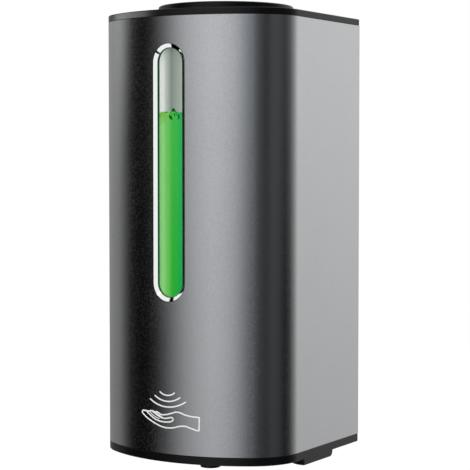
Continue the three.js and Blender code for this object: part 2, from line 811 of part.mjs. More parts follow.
function baseCover() {
  const outline = sectionPath(0, 0, rearBendRadius);
  const band = rimWall + liningInset;
  const slab = prism(outline, baseBottom, baseTop);
  const well = prism(sectionPath(band, innerRearInset + rimWall), basePlateTop, baseTop + overrun);
  const rim = liningRing(rimWall, baseTop - overrun / 2, rimHeight);
  let cover = join(cut(slab, well), rim, skid(-1), skid(1));

  const postFoot = basePlateTop - basePlateThickness / 2;
  for (const x of [-boardPinSpacingX / 2, boardPinSpacingX / 2]) {
    for (const y of [boardCentreY - boardPinSpacingY / 2, boardCentreY + boardPinSpacingY / 2]) {
      const post = rod(x, y, boardPostRadius, postFoot, boardUnderside);
      cover = join(cover, post, rod(x, y, boardPinRadius, postFoot, boardTop + boardPinHeight));
    }
  }
  for (const x of [-pumpEarX, pumpEarX]) {
    const post = rod(x, pumpCentreY, pumpEarWidth / 2, postFoot, pumpBottom - seatGap);
    const pilot = rod(x, pumpCentreY, screwRadius + seatGap, basePlateTop + seatGap, pumpBottom + overrun);
    cover = cut(join(cover, post), pilot);
  }
  for (const x of [-legX, legX]) {
    for (const y of [legFrontY, legRearY]) {
      const hole = rod(x, y, screwRadius + fitGap, baseBottom - overrun, baseTop + overrun);
      const headTop = baseBottom + basePlateThickness - screwGrip;
      const counterbore = rod(x, y, screwHeadRadius + fitGap, baseBottom - overrun, headTop);
      cover = cut(cover, hole, counterbore);
    }
  }
  cover = cut(
    cover,
    rod(0, nozzleY, nozzleRadius + fitGap, baseBottom - overrun, baseTop + overrun, roundSteps),
    rod(buttonX, boardCentreY, buttonRadius + fitGap, baseBottom - overrun, baseTop, roundSteps),
    prism(sensorOutline(fitGap), baseBottom - overrun, baseTop),
  );

  const bayHalf = knuckleWidth / 2 + fitGap;
  const bayRear = doorHingeY + knuckleRadius + hingeBayGap;
  const opening = box(
    -doorOpeningHalf, doorOpeningHalf, doorOpeningFront, doorOpeningRear, baseBottom - overrun, baseTop,
  );
  const bay = box(-bayHalf, bayHalf, doorOpeningRear - overrun, bayRear, baseBottom - overrun, baseTop);
  cover = cut(cover, opening, bay);
  for (const side of [-1, 1]) {
    const near = side * bayHalf;
    const far = near + side * lugWidth;
    const [left, right] = [Math.min(near, far), Math.max(near, far)];
    const lug = rodX(doorHingeY, doorHingeZ, knuckleRadius, left, right);
    const web = box(left, right, doorHingeY, bayRear, baseBottom, doorHingeZ + knuckleRadius);
    cover = join(cover, lug, web);
  }
  const pinReach = knuckleWidth / 2 + fitGap + lugWidth - seatGap;
  return cut(cover, rodX(doorHingeY, doorHingeZ, hingePinRadius + runningGap, -pinReach, pinReach));
}

const sensorOutline = (gap) =>
  shifted(stadiumPath(sensorWindowWidth + 2 * gap, sensorWindowDepth + 2 * gap), 0, sensorY);

function sensorWindow() {
  const plug = prism(sensorOutline(0), baseBottom, sensorFlangeBottom + sensorFlangeThickness / 2);
  const flangeTop = sensorFlangeBottom + sensorFlangeThickness;
  return join(plug, prism(sensorOutline(sensorFlangeReach), sensorFlangeBottom, flangeTop));
}

// Button, drawn about its own axis
function powerButton() {
  const flangeBottom = basePlateTop + seatGap;
  const flangeTop = flangeBottom + buttonFlangeThickness;
  return revolve([
    [0, baseBottom + buttonDimple],
    [buttonRadius / 2, baseBottom + buttonDimple],
    [buttonRadius - buttonDimple, baseBottom],
    [buttonRadius, baseBottom + buttonDimple],
    [buttonRadius, flangeBottom],
    [buttonFlangeRadius, flangeBottom],
    [buttonFlangeRadius, flangeTop],
    [buttonStemRadius, flangeTop],
    [buttonStemRadius, plungerBottom - seatGap],
    [0, plungerBottom - seatGap],
  ], roundSteps);
}

// Nozzle and valve, drawn about their own axis
function nozzle() {
  const flangeBottom = basePlateTop + seatGap;
  const flangeTop = flangeBottom + nozzleFlangeThickness;
  const barbTop = flangeTop + hoseBarbLength;
  return revolve([
    [hoseBarbBore, nozzleMouthDepth - nozzleTip],
    [nozzleMouthRadius, nozzleMouthDepth - nozzleTip],
    [nozzleMouthRadius, -nozzleTip],
    [nozzleRadius - nozzleChamfer, -nozzleTip],
    [nozzleRadius, nozzleChamfer - nozzleTip],
    [nozzleRadius, flangeBottom],
    [nozzleFlangeRadius, flangeBottom],
    [nozzleFlangeRadius, flangeTop],
    [hoseBarbRadius, flangeTop],
    [hoseBarbRadius, barbTop],
    [hoseBarbBore, barbTop],
  ], roundSteps);
}

function nozzleValve() {
  const top = nozzleMouthDepth - nozzleTip - seatGap;
  const flangeRadius = nozzleMouthRadius - seatGap;
  const bodyRadius = flangeRadius - valveWall;
  return revolve([
    [bodyRadius - valveWall, top],
    [valveLip, top - valveLength + valveWall],
    [valveLip, top - valveLength],
    [valveLip + valveWall, top - valveLength],
    [bodyRadius, top - valveFlange - valveWall],
    [flangeRadius, top - valveFlange],
    [flangeRadius, top],
  ], smallSteps);
}

// Hoses, each from the face it stands on
const outletHose = () => {
  const inner = hoseBarbRadius + seatGap;
  const bottom = basePlateTop + nozzleFlangeThickness + 2 * seatGap;
  return tube(inner, inner + outletHoseWall, bottom, pumpBottom - seatGap, smallSteps);
};

const inletHose = () => {
  const inner = spigotRadius + seatGap;
  return tube(inner, inner + inletHoseWall, pumpTop + seatGap, bayHeight - seatGap, smallSteps);
};

// Chassis
function chassis() {
  const deck = prism(sectionPath(deckInset, deckRearInset), bayHeight, deckTop);
  const cradleBottom = motorTop - cradleGrip;
  const cradle = rod(motorX, pumpCentreY, cradleRadius + cradleWall, cradleBottom, deckTop, roundSteps);
  let frame = join(deck, cradle);
  const legFoot = baseTop + fitGap;
  for (const side of [-1, 1]) {
    const x = side * legX;
    const wallOuter = side * (legX + sideWallThickness);
    const [left, right] = [Math.min(wallOuter, x), Math.max(wallOuter, x)];
    const wall = box(left, right, legFrontY, legRearY, sideWallFoot, bayHeight + deckThickness / 2);
    const window = box(
      left - overrun,
      right + overrun,
      legFrontY + sideOpeningMargin,
      legRearY - sideOpeningMargin,
      sideWallFoot + sideOpeningMargin,
      bayHeight - sideOpeningMargin,
    );
    frame = join(frame, cut(wall, window));
    for (const y of [legFrontY, legRearY]) {
      const leg = rod(x, y, legRadius, legFoot, bayHeight + deckThickness / 2);
      const pilot = rod(x, y, screwRadius + seatGap, legFoot - overrun, screwLength + overrun / 2);
      frame = cut(join(frame, leg), pilot);
    }
    const bossX = side * backScrewX;
    const bossBack = -deckRearInset;
    const boss = box(
      bossX - rearBossWidth / 2,
      bossX + rearBossWidth / 2,
      bossBack - rearBossDepth,
      bossBack,
      bayHeight - rearBossHeight,
      bayHeight + deckThickness / 2,
    );
    const pilotEnd = bossBack - rearBossDepth - overrun;
    const pilot = rodY(bossX, backScrewHeight, screwRadius + seatGap, pilotEnd, 0);
    frame = cut(join(frame, boss), pilot);
  }
  const holeTop = deckTop + overrun;
  const motorHole = rod(motorX, pumpCentreY, cradleRadius, cradleBottom - overrun, holeTop, roundSteps);
  const spigotHole = rod(inletSpigotX, inletSpigotY, spigotRadius + fitGap, 0, holeTop);
  return cut(frame, motorHole, spigotHole);
}

// Tank, filler neck, gasket and soap
function tank() {
  const outside = prism(sectionPath(tankInset, tankRearInset, tankCornerRadius), tankBottom, tankTop);
  const innerCorner = tankCornerRadius - tankWall / 2;
  const cavityPath = sectionPath(tankCavityInset, tankCavityRear, innerCorner);
  const cavity = prism(cavityPath, tankFloorTop, tankTop + overrun);
  const spigotFoot = tankBottom - tankSpigotLength;
  const spigot = rod(inletSpigotX, inletSpigotY, spigotRadius, spigotFoot, tankFloorTop - tankFloor / 2);
  const sump = solidOf(new THREE.CylinderGeometry(sumpRadius, spigotBore, sumpDepth, smallSteps)
    .rotateY(quarter)
    .rotateX(quarter)
    .translate(inletSpigotX, inletSpigotY, tankFloorTop - sumpDepth / 2));
  const bore = rod(inletSpigotX, inletSpigotY, spigotBore, spigotFoot - overrun, tankFloorTop + overrun);
  const slot = windowPrism(tankSlotWidth, tankSlotHeight);
  return cut(join(outside, spigot), cavity, sump, bore, slot);
}

function tankGasket() {
  const top = gasketBottom + gasketThickness;
  const innerCorner = tankCornerRadius - tankWall / 2;
  const outside = prism(sectionPath(tankInset, tankRearInset, tankCornerRadius), gasketBottom, top);
  const inside = sectionPath(tankCavityInset, tankCavityRear, innerCorner);
  return cut(outside, prism(inside, gasketBottom - overrun, top + overrun));
}

function fillerNeck() {
  const platePath = sectionPath(tankInset, tankRearInset, tankCornerRadius);
  const plate = prism(platePath, neckPlateBottom, neckPlateTop);
  const lipInset = tankCavityInset + fitGap;
  const lipRear = tankCavityRear + fitGap;
  const lipBottom = neckPlateBottom - neckLipHeight;
  const lipPath = sectionPath(lipInset, lipRear, tankCornerRadius - tankWall / 2);
  const lipOutside = prism(lipPath, lipBottom, neckPlateTop - neckPlateThickness / 2);
  const lipInside = sectionPath(lipInset + neckLipWall, lipRear + neckLipWall);
  const lip = cut(lipOutside, prism(lipInside, lipBottom - overrun, neckPlateBottom));
  const neck = rod(0, neckY, neckRadius + neckWall, neckPlateBottom, neckTop, neckSteps);
  return cut(join(plate, lip, neck), rod(0, neckY, neckRadius, lipBottom - overrun, coverTop, neckSteps));
}

function liquidSoap() {
  const corner = tankCornerRadius - tankWall / 2;
  const filling = sectionPath(tankCavityInset + fitGap, tankCavityRear + fitGap, corner);
  const body = prism(filling, tankFloorTop + fitGap, soapLevel);
  const slotFilling = windowLayer(
    tankSlotWidth - 2 * fitGap,
    tankSlotHeight - 2 * fitGap,
    lensBackInset + fitGap,
    tankCavityInset + tankWall,
  );
  const above = box(-bodyWidth, bodyWidth, -2 * bodyDepth, bodyDepth, soapLevel, sleeveHeight);
  return join(body, cut(slotFilling, above));
}

// Gear outline with involute flanks, centred on a tooth at the given angle
function gearPath(turn) {
  const baseRadius = gearPitchRadius * Math.cos(gearPressureAngle);
  const rootRadius = gearPitchRadius - gearDedendum;
  const involute = (angle) => Math.tan(angle) - angle;
  const pitchHalf = (Math.PI * gearModule / 2 - gearBacklash) / (2 * gearPitchRadius);
  const halfAngle = (radius) => {
    const pressure = Math.acos(Math.min(1, baseRadius / Math.max(radius, baseRadius)));
    return pitchHalf + involute(gearPressureAngle) - involute(pressure);
  };
  const radii = [rootRadius, baseRadius, (baseRadius + gearTipRadius) / 2, gearTipRadius];
  const points = [];
  for (let tooth = 0; tooth < gearTeeth; tooth++) {
    const centre = turn + 4 * quarter * tooth / gearTeeth;
    for (const radius of radii) {
      points.push(point(radius, 0).rotateAround(point(0, 0), centre - halfAngle(radius)));
    }
    for (const radius of [...radii].reverse()) {
      points.push(point(radius, 0).rotateAround(point(0, 0), centre + halfAngle(radius)));
    }
  }
  return points;
}

function gear(turn, boreRadius) {
  return cut(prism(gearPath(turn), 0, gearHeight), rod(0, 0, boreRadius, -overrun, gearHeight + overrun));
}

// Pump, drawn with the middle of its two gears on the z axis
const capsule = (radius) => stadiumPath(2 * (gearPitchRadius + radius), 2 * radius);

function gearChambers(radius, bottom, top) {
  const left = rod(-gearPitchRadius, 0, radius, bottom, top, 2 * smallSteps);
  return join(left, rod(gearPitchRadius, 0, radius, bottom, top, 2 * smallSteps));
}

function pumpBody() {
  const inletX = inletSpigotX;
  const inletY = inletSpigotY - pumpCentreY;
  const outletY = nozzleY - pumpCentreY;
  const portHeight = pumpTop - portRadius - seatGap;
  const bossRadius = spigotRadius + inletBossWall;
  const hoseTop = pumpTop + inletSpigotLength;
  const hoseFoot = pumpBottom - hoseBarbLength;
  let body = join(
    prism(capsule(pumpBodyRadius), pumpBottom, pumpTop),
    rod(inletX, inletY, bossRadius, pumpBottom, pumpTop, roundSteps),
    box(0, inletX, inletY - spigotRadius, inletY + spigotRadius, pumpBottom, pumpTop),
    rod(inletX, inletY, spigotRadius, pumpTop - overrun, hoseTop),
    rod(0, outletY, hoseBarbRadius + pumpWall, pumpBottom, pumpTop, roundSteps),
    rod(0, outletY, hoseBarbRadius, hoseFoot, pumpBottom + overrun),
  );
  for (const side of [-1, 1]) {
    const inner = side * gearPitchRadius;
    const ear = box(
      Math.min(inner, side * pumpEarX),
      Math.max(inner, side * pumpEarX),
      -pumpEarWidth / 2,
      pumpEarWidth / 2,
      pumpBottom,
      pumpBottom + pumpEarThickness,
    );
    const end = rod(side * pumpEarX, 0, pumpEarWidth / 2, pumpBottom, pumpBottom + pumpEarThickness);
    const hole = rod(side * pumpEarX, 0, screwRadius + fitGap, pumpBottom - overrun, pumpTop);
    body = cut(join(body, ear, end), hole);
  }
  return cut(
    body,
    gearChambers(pumpCavityRadius, pumpCavityFloor, pumpTop + overrun),
    rod(gearPitchRadius, 0, idlerPinRadius + seatGap, pumpCavityFloor - idlerPinSeat, pumpTop),
    rodX(inletY, portHeight, spigotBore, 0, inletX),
    prismY(circle(0, portHeight, spigotBore, smallSteps), 0, inletY),
    rod(inletX, inletY, spigotBore, portHeight, hoseTop + overrun),
    prismY(circle(0, portHeight, hoseBarbBore, smallSteps), outletY, 0),
    rod(0, outletY, hoseBarbBore, hoseFoot - overrun, portHeight),
  );
}

function pumpGasket() {
  const top = pumpGasketBottom + pumpGasketThickness;
  const ring = prism(capsule(pumpBodyRadius - seatGap), pumpGasketBottom, top);
  return cut(ring, gearChambers(pumpCavityRadius + seatGap, pumpGasketBottom - overrun, top + overrun));
}

function pumpCover() {
  const below = pumpCoverBottom - overrun;
  const above = pumpCoverTop + overrun;
  const sealSeat = pumpCoverTop - shaftSealThickness - 2 * seatGap;
  return cut(
    prism(capsule(pumpBodyRadius), pumpCoverBottom, pumpCoverTop),
    rod(-gearPitchRadius, 0, shaftRadius + runningGap, below, above),
    rod(-gearPitchRadius, 0, shaftSealRadius + seatGap, sealSeat, above),
    rod(gearPitchRadius, 0, idlerPinRadius + seatGap, below, pumpCoverBottom + idlerPinSeat),
  );
}

// Motor pieces, each about the motor's axis
function motorCan() {
  const inner = motorRadius - motorWall;
  const shaftHole = shaftRadius + runningGap;
  return revolve([
    [shaftHole, motorBottom],
    [motorRadius, motorBottom],
    [motorRadius, motorTop],
    [inner, motorTop],
    [inner, motorBottom + motorWall],
    [shaftHole, motorBottom + motorWall],
  ], 2 * smallSteps);
}

function motorEndCap() {
  const lipRadius = motorRadius - motorWall - seatGap;
  const bottom = motorTop + seatGap;
  let cap = rod(0, 0, motorRadius, bottom, motorCapTop, 2 * smallSteps);
  const lipTop = bottom + motorCapThickness / 2;
  cap = join(cap, rod(0, 0, lipRadius, motorTop - motorCapLip, lipTop, 2 * smallSteps));
  const bearingTop = motorTop + motorCapThickness / 2;
  cap = cut(cap, rod(0, 0, shaftRadius + runningGap, motorTop - motorCapLip - overrun, bearingTop));
  for (const x of [-terminalSpacing / 2, terminalSpacing / 2]) {
    const terminal = new THREE.BoxGeometry(terminalWidth, terminalThickness, 2 * terminalHeight);
    cap = join(cap, solidOf(terminal.translate(x, 0, motorCapTop)));
  }
  return cap;
}

const shaftBottom = () => pumpCavityFloor + seatGap;

function motorShaft() {
  return rod(0, 0, shaftRadius, shaftBottom(), motorTop, smallSteps);
}

function motorArmature() {
  const bottom = motorBottom + motorWall + (motorLength - motorWall - motorCapLip - armatureLength) / 2;
  return tube(shaftRadius + seatGap, armatureRadius, bottom, bottom + armatureLength, roundSteps);
}

const shaftSeal = () => {
  const bottom = pumpCoverTop - shaftSealThickness - seatGap;
  return tube(shaftRadius + runningGap, shaftSealRadius, bottom, bottom + shaftSealThickness, smallSteps);
};

const idlerPin = () => {
  const bottom = pumpCavityFloor - idlerPinSeat + seatGap;
  return rod(0, 0, idlerPinRadius, bottom, pumpCoverBottom + idlerPinSeat - seatGap, smallSteps);
};

// Control board and its components
function controlBoard() {
  let board = prism(boxPath(boardWidth, boardDepth, boardPinRadius), 0, boardThickness);
  for (const x of [-boardPinSpacingX / 2, boardPinSpacingX / 2]) {
    for (const y of [-boardPinSpacingY / 2, boardPinSpacingY / 2]) {
      board = cut(board, rod(x, y, boardPinRadius + fitGap, -overrun, boardThickness + overrun));
    }
  }
  return board;
}

// Infrared diode, hanging under z = 0 with its dome down
const infraredDiode = () => {
  const domeTop = ledRadius - ledLength;
  const dome = arc(0, domeTop, ledRadius, -quarter, 0, 3).map((p) => [p.x, p.y]);
  dome[0][0] = 0;
  return revolve([
    ...dome,
    [ledRadius, -ledRimHeight],
    [ledRimRadius, -ledRimHeight],
    [ledRimRadius, 0],
    [0, 0],
  ], smallSteps);
};

const capacitor = () => revolve([
  [0, 0],
  [capacitorRadius, 0],
  [capacitorRadius, capacitorHeight - boardPinRadius / 2],
  [capacitorRadius - boardPinRadius / 2, capacitorHeight],
  [0, capacitorHeight],
], smallSteps);

function boardConnector() {
  const shell = prism(boxPath(connectorWidth, connectorDepth), 0, connectorHeight);
  const socket = boxPath(connectorWidth - 2 * connectorWall, connectorDepth - 2 * connectorWall);
  return cut(shell, prism(socket, connectorWall, connectorHeight + overrun));
}

// Push switch under the board, with the plunger's hole in its underside
function tactSwitch() {
  const housing = prism(boxPath(switchSide, switchSide, boardPinRadius / 2), switchBottom, boardUnderside);
  const holeTop = switchBottom + plungerSeat + buttonTravel + seatGap;
  return cut(housing, rod(0, 0, plungerRadius + runningGap, switchBottom - overrun, holeTop));
}

const switchPlunger = () => rod(0, 0, plungerRadius, plungerBottom, plungerBottom + plungerLength);

// Battery box, drawn with the middle of the cell row at x = 0 and y = 0
function batteryBox() {
  const bottom = basePlateTop + seatGap;
  const half = batteryHalfLength;
  const outside = box(-half, half, -batteryHalfDepth, batteryHalfDepth, bottom, batteryTop);
  const flangeHalf = half + batteryFlangeReach;
  const flangeTop = bottom + batteryFlangeThickness;
  const flange = box(-flangeHalf, flangeHalf, -batteryHalfDepth, batteryHalfDepth, bottom, flangeTop);
  const wellHalf = half - batteryWall;
  const wellDepth = batteryHalfDepth - batteryWall;
  const well = box(-wellHalf, wellHalf, -wellDepth, wellDepth, bottom - overrun, batteryCeiling);
  let housing = cut(join(outside, flange), well);
  const ribReach = cellRadius / 3;
  for (let i = 1; i < cellCount; i++) {
    const x = -cellRowLength / 2 + cellRadius + cellSpare + (i - 0.5) * cellPitch;
    for (const side of [-1, 1]) {
      const [near, far] = [side * (wellDepth - ribReach), side * (wellDepth + batteryWall / 2)];
      const rib = box(
        x - cellSpare,
        x + cellSpare,
        Math.min(near, far),
        Math.max(near, far),
        springDownBottom,
        batteryCeiling - contactThickness - 2 * seatGap - springHeight,
      );
      housing = join(housing, rib);
    }
  }
  return housing;
}

const cellX = (index) => (index - (cellCount - 1) / 2) * cellPitch;

const cell = () => revolve([
  [0, 0],
  [cellRadius, 0],
  [cellRadius, cellLength - cellNubHeight],
  [cellNubRadius, cellLength - cellNubHeight],
  [cellNubRadius, cellLength],
  [0, cellLength],
], roundSteps);

// A contact spring standing on z = 0: a cone of round wire
function contactSpring() {
  class Cone extends THREE.Curve {
    getPoint(t) {
      const angle = t * springTurnCount * 4 * quarter;
      const radius = springRadius + (springTipRadius - springRadius) * t;
      const height = springWireRadius / 2 + (springHeight - springWireRadius * 3 / 2) * t;
      return new THREE.Vector3(radius * Math.cos(angle), radius * Math.sin(angle), height);
    }
  }
  const wire = new THREE.Shape(circle(0, 0, springWireRadius, springSides));
  const steps = Math.round(springTurnCount * springStepsPerTurn);
  return solidOf(new THREE.ExtrudeGeometry(wire, { steps, extrudePath: new Cone() }));
}

// A contact plate over the cells from first to last, with a spring over the one at springCell
function contact(first, last, springCell, springFaces) {
  const middle = (cellX(first) + cellX(last)) / 2;
  const length = cellX(last) - cellX(first) + 2 * contactMargin + 2 * springTipRadius;
  const plate = box(-length / 2, length / 2, -contactWidth / 2, contactWidth / 2, 0, contactThickness);
  if (springCell === null) return plate;
  let spring = contactSpring().translate([0, 0, contactThickness - springWireRadius / 2]);
  if (springFaces < 0) spring = contactSpring().rotate([180, 0, 0]).translate([0, 0, springWireRadius / 2]);
  return join(plate, spring.translate([cellX(springCell) - middle, 0, 0]));
}

// Battery door, drawn in the dispenser's own coordinates
function batteryDoor() {
  const half = doorOpeningHalf - fitGap;
  const front = doorOpeningFront + fitGap;
  const rear = doorHingeY - doorRearGap;
  const plate = box(-half, half, front, rear, baseBottom, doorInside);
  const arm = box(-knuckleWidth / 2, knuckleWidth / 2, rear - overrun, doorHingeY, baseBottom, doorInside);
  const knuckle = rodX(doorHingeY, doorHingeZ, knuckleRadius, -knuckleWidth / 2, knuckleWidth / 2);
  const bore = rodX(doorHingeY, doorHingeZ, hingePinRadius + runningGap, -halfWidth, halfWidth);
  const notchTop = baseBottom + fingerNotchDepth;
  const notch = rod(0, front, fingerNotchRadius, baseBottom - overrun, notchTop, roundSteps);
  return cut(join(plate, arm, knuckle), bore, notch);
}

const doorHingePin = () => {
  const reach = knuckleWidth / 2 + fitGap + lugWidth - 2 * seatGap;
  return rodX(0, 0, hingePinRadius, -reach, reach);
};

// Assembly
const dispenserPart = new THREE.Group();
dispenserPart.name = 'automatic_soap_dispenser';

function place(parent, name, solid, material, x = 0, y = 0, z = 0) {
  const mesh = new THREE.Mesh(geometryOf(solid), material);
  mesh.name = name;
  mesh.position.set(x, y, z);
  parent.add(mesh);
  return mesh;
}

function groupAt(parent, x, y, z) {
  const group = new THREE.Group();
  group.position.set(x, y, z);
  parent.add(group);
  return group;
}

place(dispenserPart, 'wall_bracket', wallBracket(), blackMatte);
const body = groupAt(dispenserPart, 0, -wallGap, -bracketCentreHeight);

// Housing
place(body, 'shell_sleeve', shellSleeve(), satinSteel);
place(body, 'back_cover', backCover(), blackMatte);
place(body, 'top_cover', topCover(), blackGloss);
place(body, 'base_cover', baseCover(), blackGloss);
place(body, 'chassis', chassis(), blackMatte);
place(body, 'window_bezel', windowBezel(), polished);
place(body, 'sight_lens', sightLens(), clearPlastic);
place(body, 'window_gasket', windowGasket(), seal);

// Tank and filler
place(body, 'tank', tank(), tankPlastic);
place(body, 'tank_gasket', tankGasket(), seal);
place(body, 'filler_neck', fillerNeck(), tankPlastic);
place(body, 'liquid_soap', liquidSoap(), greenSoap);
const lidGroup = groupAt(body, 0, neckY, 0);
place(lidGroup, 'fill_lid', fillLid(), blackGloss);
place(lidGroup, 'lid_seal', lidSeal(), seal);

// Pump and motor
const pumpGroup = groupAt(body, 0, pumpCentreY, 0);
place(pumpGroup, 'pump_body', pumpBody(), pumpPlastic);
place(pumpGroup, 'pump_gasket', pumpGasket(), seal);
place(pumpGroup, 'pump_cover', pumpCover(), pumpPlastic);
place(pumpGroup, 'idler_pin', idlerPin(), zincSteel, gearPitchRadius);
const gearBottom = pumpCavityFloor + seatGap;
const toothTurn = 2 * quarter / gearTeeth;
const driveGear = gear(0, shaftRadius + seatGap);
const idlerGear = gear(2 * quarter + toothTurn, idlerPinRadius + runningGap);
place(pumpGroup, 'drive_gear', driveGear, gearPlastic, -gearPitchRadius, 0, gearBottom);
place(pumpGroup, 'idler_gear', idlerGear, gearPlastic, gearPitchRadius, 0, gearBottom);
const motorGroup = groupAt(pumpGroup, -gearPitchRadius, 0, 0);
place(motorGroup, 'motor_can', motorCan(), zincSteel);
place(motorGroup, 'motor_end_cap', motorEndCap(), blackMatte);
place(motorGroup, 'motor_shaft', motorShaft(), zincSteel);
place(motorGroup, 'motor_armature', motorArmature(), zincSteel);
place(motorGroup, 'shaft_seal', shaftSeal(), seal);
place(body, 'inlet_hose', inletHose(), seal, inletSpigotX, inletSpigotY, 0);
place(body, 'outlet_hose', outletHose(), seal, 0, nozzleY, 0);
place(body, 'nozzle', nozzle(), blackGloss, 0, nozzleY, 0);
place(body, 'nozzle_valve', nozzleValve(), seal, 0, nozzleY, 0);

// Control board
place(body, 'control_board', controlBoard(), boardGreen, 0, boardCentreY, boardBottom);
place(body, 'ir_emitter', infraredDiode(), ledClear, -ledSpacing / 2, sensorY, boardUnderside);
place(body, 'ir_receiver', infraredDiode(), ledClear, ledSpacing / 2, sensorY, boardUnderside);
const chip = prism(boxPath(chipSide, chipSide), 0, chipHeight);
place(body, 'control_chip', chip, chipBlack, chipX, boardCentreY, boardTop);
place(body, 'capacitor', capacitor(), chipBlack, capacitorX, boardCentreY, boardTop);
place(body, 'board_connector', boardConnector(), pumpPlastic, connectorX, boardCentreY, boardTop);
place(body, 'tact_switch', tactSwitch(), chipBlack, buttonX, boardCentreY, 0);
place(body, 'switch_plunger', switchPlunger(), gearPlastic, buttonX, boardCentreY, 0);
place(body, 'power_button', powerButton(), blackGloss, buttonX, boardCentreY, 0);
place(body, 'sensor_window', sensorWindow(), ledClear);

// Battery bay
const batteryGroup = groupAt(body, 0, batteryY, 0);
place(batteryGroup, 'battery_box', batteryBox(), blackMatte);
for (let index = 0; index < cellCount; index++) {
  const nubUp = index % 2 === 0;
  const bottom = nubUp ? springDownBottom : nubDownBottom;
  const height = nubUp ? bottom : bottom + cellLength;
  const mesh = place(batteryGroup, `battery_cell_${index + 1}`, cell(), cellWrap, cellX(index), 0, height);
  if (!nubUp) mesh.rotation.x = 2 * quarter;
}
const middleOf = (first, last) => (cellX(first) + cellX(last)) / 2;
const contacts = [
  ['top_contact_left', 0, 0, null, -1],
  ['top_contact_middle', 1, 2, 1, -1],
  ['top_contact_right', 3, 3, 3, -1],
  ['door_contact_left', 0, 1, 0, 1],
  ['door_contact_right', 2, 3, 2, 1],
];
for (const [name, first, last, springCell, faces] of contacts) {
  const z = faces < 0 ? topContactBottom : doorInside + seatGap;
  const plate = contact(first, last, springCell, faces);
  place(batteryGroup, name, plate, zincSteel, middleOf(first, last), 0, z);
}
place(body, 'battery_door', batteryDoor(), blackGloss);
place(body, 'door_hinge_pin', doorHingePin(), zincSteel, 0, doorHingeY, doorHingeZ);

// Screws
const baseScrewSeat = baseBottom + basePlateThickness - screwGrip - seatGap;
let screwNumber = 1;
for (const y of [legFrontY, legRearY]) {
  for (const x of [-legX, legX]) {
    const mesh = place(body, `base_screw_${screwNumber}`, screwSolid(), zincSteel, x, y, baseScrewSeat);
    mesh.rotation.x = 2 * quarter;
    screwNumber += 1;
  }
}
for (const [index, side] of [-1, 1].entries()) {
  const x = side * backScrewX;
  const seat = -screwHeadHeight;
  const back = place(body, `back_screw_${index + 1}`, screwSolid(), zincSteel, x, seat, backScrewHeight);
  back.rotation.x = -quarter;
  const height = pumpBottom + pumpEarThickness + seatGap;
  place(pumpGroup, `pump_screw_${index + 1}`, screwSolid(), zincSteel, side * pumpEarX, 0, height);
}

export default dispenserPart;
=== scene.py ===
"""Wall-mounted automatic soap dispenser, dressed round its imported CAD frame.

The frame is in metres with +Z up and the front facing -Y. Shapes are drawn here in millimetres of that
same frame and turned into metres when their mesh is made.
"""
import math
import random

import bmesh
import bpy
from bpy.props import FloatProperty, FloatVectorProperty, IntProperty, PointerProperty
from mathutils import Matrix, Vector


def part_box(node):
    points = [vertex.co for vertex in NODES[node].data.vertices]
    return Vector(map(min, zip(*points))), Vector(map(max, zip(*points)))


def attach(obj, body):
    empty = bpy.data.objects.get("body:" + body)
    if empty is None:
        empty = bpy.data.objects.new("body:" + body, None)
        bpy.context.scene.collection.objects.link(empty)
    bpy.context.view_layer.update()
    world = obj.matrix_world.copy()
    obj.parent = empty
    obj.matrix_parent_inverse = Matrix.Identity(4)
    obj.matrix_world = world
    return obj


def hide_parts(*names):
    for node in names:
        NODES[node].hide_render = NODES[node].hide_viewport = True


bl_info = {
    "name": "Automatic soap dispenser",
    "version": (1, 0, 0),
    "blender": (4, 5, 0),
    "location": "View3D > Sidebar > Dispenser",
    "description": "Dresses the packed frame of a wall-mounted automatic soap dispenser",
    "category": "Object",
}

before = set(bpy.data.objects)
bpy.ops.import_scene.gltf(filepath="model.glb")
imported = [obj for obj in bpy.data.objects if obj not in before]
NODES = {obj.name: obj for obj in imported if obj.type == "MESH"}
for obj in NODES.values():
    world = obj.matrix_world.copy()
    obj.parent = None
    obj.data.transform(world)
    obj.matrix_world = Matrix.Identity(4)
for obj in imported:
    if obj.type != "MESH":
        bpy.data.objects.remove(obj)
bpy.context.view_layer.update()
MM = 0.001
QUARTER = math.pi / 2


def box_mm(node):
    """Lowest and highest corner of a CAD node, in millimetres."""
    low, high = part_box(node)
    return low / MM, high / MM


SLEEVE_LOW, SLEEVE_HIGH = box_mm("shell_sleeve")
TOP_LOW, TOP_HIGH = box_mm("top_cover")
BASE_LOW = box_mm("base_cover")[0]
LID_LOW, LID_HIGH = box_mm("fill_lid")
LID_SEAL_LOW, LID_SEAL_HIGH = box_mm("lid_seal")
BEZEL_LOW, BEZEL_HIGH = box_mm("window_bezel")
SOAP_LOW, SOAP_HIGH = box_mm("liquid_soap")
NECK_LOW, NECK_HIGH = box_mm("filler_neck")
NOZZLE_LOW, NOZZLE_HIGH = box_mm("nozzle")
VALVE_LOW, VALVE_HIGH = box_mm("nozzle_valve")
BUTTON_LOW, BUTTON_HIGH = box_mm("power_button")
SENSOR_LOW, SENSOR_HIGH = box_mm("sensor_window")
DOOR_LOW, DOOR_HIGH = box_mm("battery_door")
BRACKET_LOW, BRACKET_HIGH = box_mm("wall_bracket")

# places and sizes in millimetres that the CAD nodes' boxes give only together, or not at all
SEAT_GAP, FREE_GAP = 0.15, 0.3
LID_CENTRE = (0.0, (LID_LOW.y + LID_HIGH.y) / 2)
NOZZLE_CENTRE = (0.0, (NOZZLE_LOW.y + NOZZLE_HIGH.y) / 2)
BUTTON_CENTRE = ((BUTTON_LOW + BUTTON_HIGH) / 2).xy
SENSOR_LENGTH, SENSOR_WIDTH = 27.0, 9.0
BEZEL_HALF, BEZEL_FLANGE = 8.5, 2.0
CAP_LOW = BEZEL_LOW.z + BEZEL_HALF + BEZEL_FLANGE
CAP_HIGH = BEZEL_HIGH.z - BEZEL_HALF - BEZEL_FLANGE
